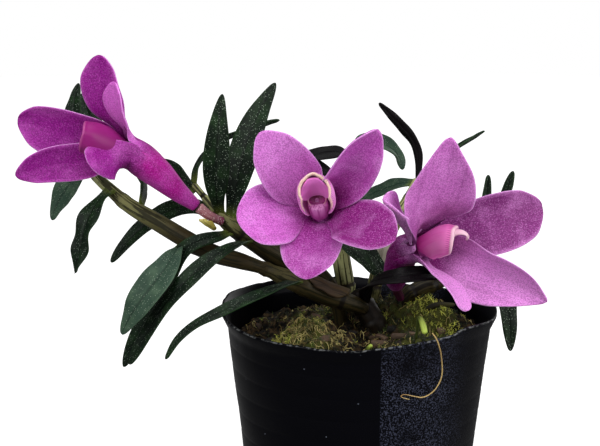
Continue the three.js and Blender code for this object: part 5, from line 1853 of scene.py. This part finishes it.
@dataclass
class Studio:
    """A white paper floor, soft light from above and both sides, and the camera."""

    lens: float = 90
    camera_at: Point = (-16.1, -398.1, 176.6)
    pitch: float = 78
    dimmed: float = 0.1

    def camera(self) -> None:
        """A short telephoto, looking down on the plant by twelve degrees."""
        clear_selection()
        at, tilt = Vector(self.camera_at) * MM, (math.radians(self.pitch), 0, 0)
        bpy.ops.object.camera_add(location=at, rotation=tilt)
        view = bpy.context.object
        view.name = "plant_camera"
        view.data.lens = self.lens
        view.data.sensor_width = 36
        view.data.clip_start, view.data.clip_end = 0.01, 30
        bpy.context.scene.camera = view

    def floor(self) -> None:
        """Paper: a flat disc, 1.2 m in radius, round the plant."""
        clear_selection()
        bpy.ops.mesh.primitive_circle_add(vertices=96, radius=1.2, fill_type="NGON", location=(0, 0, 0))
        floor = named("studio_floor")
        floor.data.materials.append(Finishes.FLOOR.value.material())

    def light(self, name: str, at: Point, size: float, power: float) -> None:
        """One square softbox, at a place in metres and aimed at the plant's middle."""
        clear_selection()
        bpy.ops.object.light_add(type="AREA", location=at)
        lamp = bpy.context.object
        lamp.name = name
        lamp.data.size = size
        lamp.data.energy = power
        lamp.rotation_euler = (Vector((-0.02, 0, 0.08)) - Vector(at)).to_track_quat("-Z", "Y").to_euler()

    def room(self) -> None:
        """A white room to the eye, which lights the plant only faintly, as black flags round a set do."""
        world = bpy.data.worlds.new("white_room")
        world.use_nodes = True
        tree = world.node_tree
        seen = add(tree, "LightPath").outputs["Is Camera Ray"]
        strength = add(tree, "MapRange", {0: seen, 3: self.dimmed, 4: 1.0}).outputs[0]
        tree.links.new(strength, tree.nodes["Background"].inputs["Strength"])
        tree.nodes["Background"].inputs["Color"].default_value = (1, 1, 1, 1)
        bpy.context.scene.world = world
        bpy.context.scene.view_settings.view_transform = "Standard"

    def build(self) -> None:
        """Camera, floor, room and lamps."""
        self.camera()
        self.floor()
        self.room()
        self.light("right_softbox", (0.7, -0.35, 0.15), 0.45, 3.5)
        self.light("left_softbox", (-0.6, -0.6, 0.35), 0.45, 3.7)
        self.light("front_softbox", (-0.05, -0.55, 0.75), 0.45, 2.4)
        self.light("key_softbox", (0.55, -0.5, 0.55), 0.45, 2.2)
        self.light("top_softbox", (-0.12, 0.02, 0.85), 0.5, 2.6)
        self.light("back_softbox", (0.45, 0.6, 0.3), 0.4, 1.2)


def main() -> None:
    """Builds the plant from the pot up, then the studio round it."""
    logging.basicConfig(level=logging.INFO, format="%(name)s %(message)s")
    pot = Pot()
    Studio().build()
    settle(pot.build(), Finishes.POT, "pot", "pot")
    Medium(pot).build()
    Canes().build()
    Leaves().build()
    for bloom in BLOOMS:
        bloom.build()
    Dressings(pot).build()
    clear_selection()


if __name__ == "__main__":
    main()
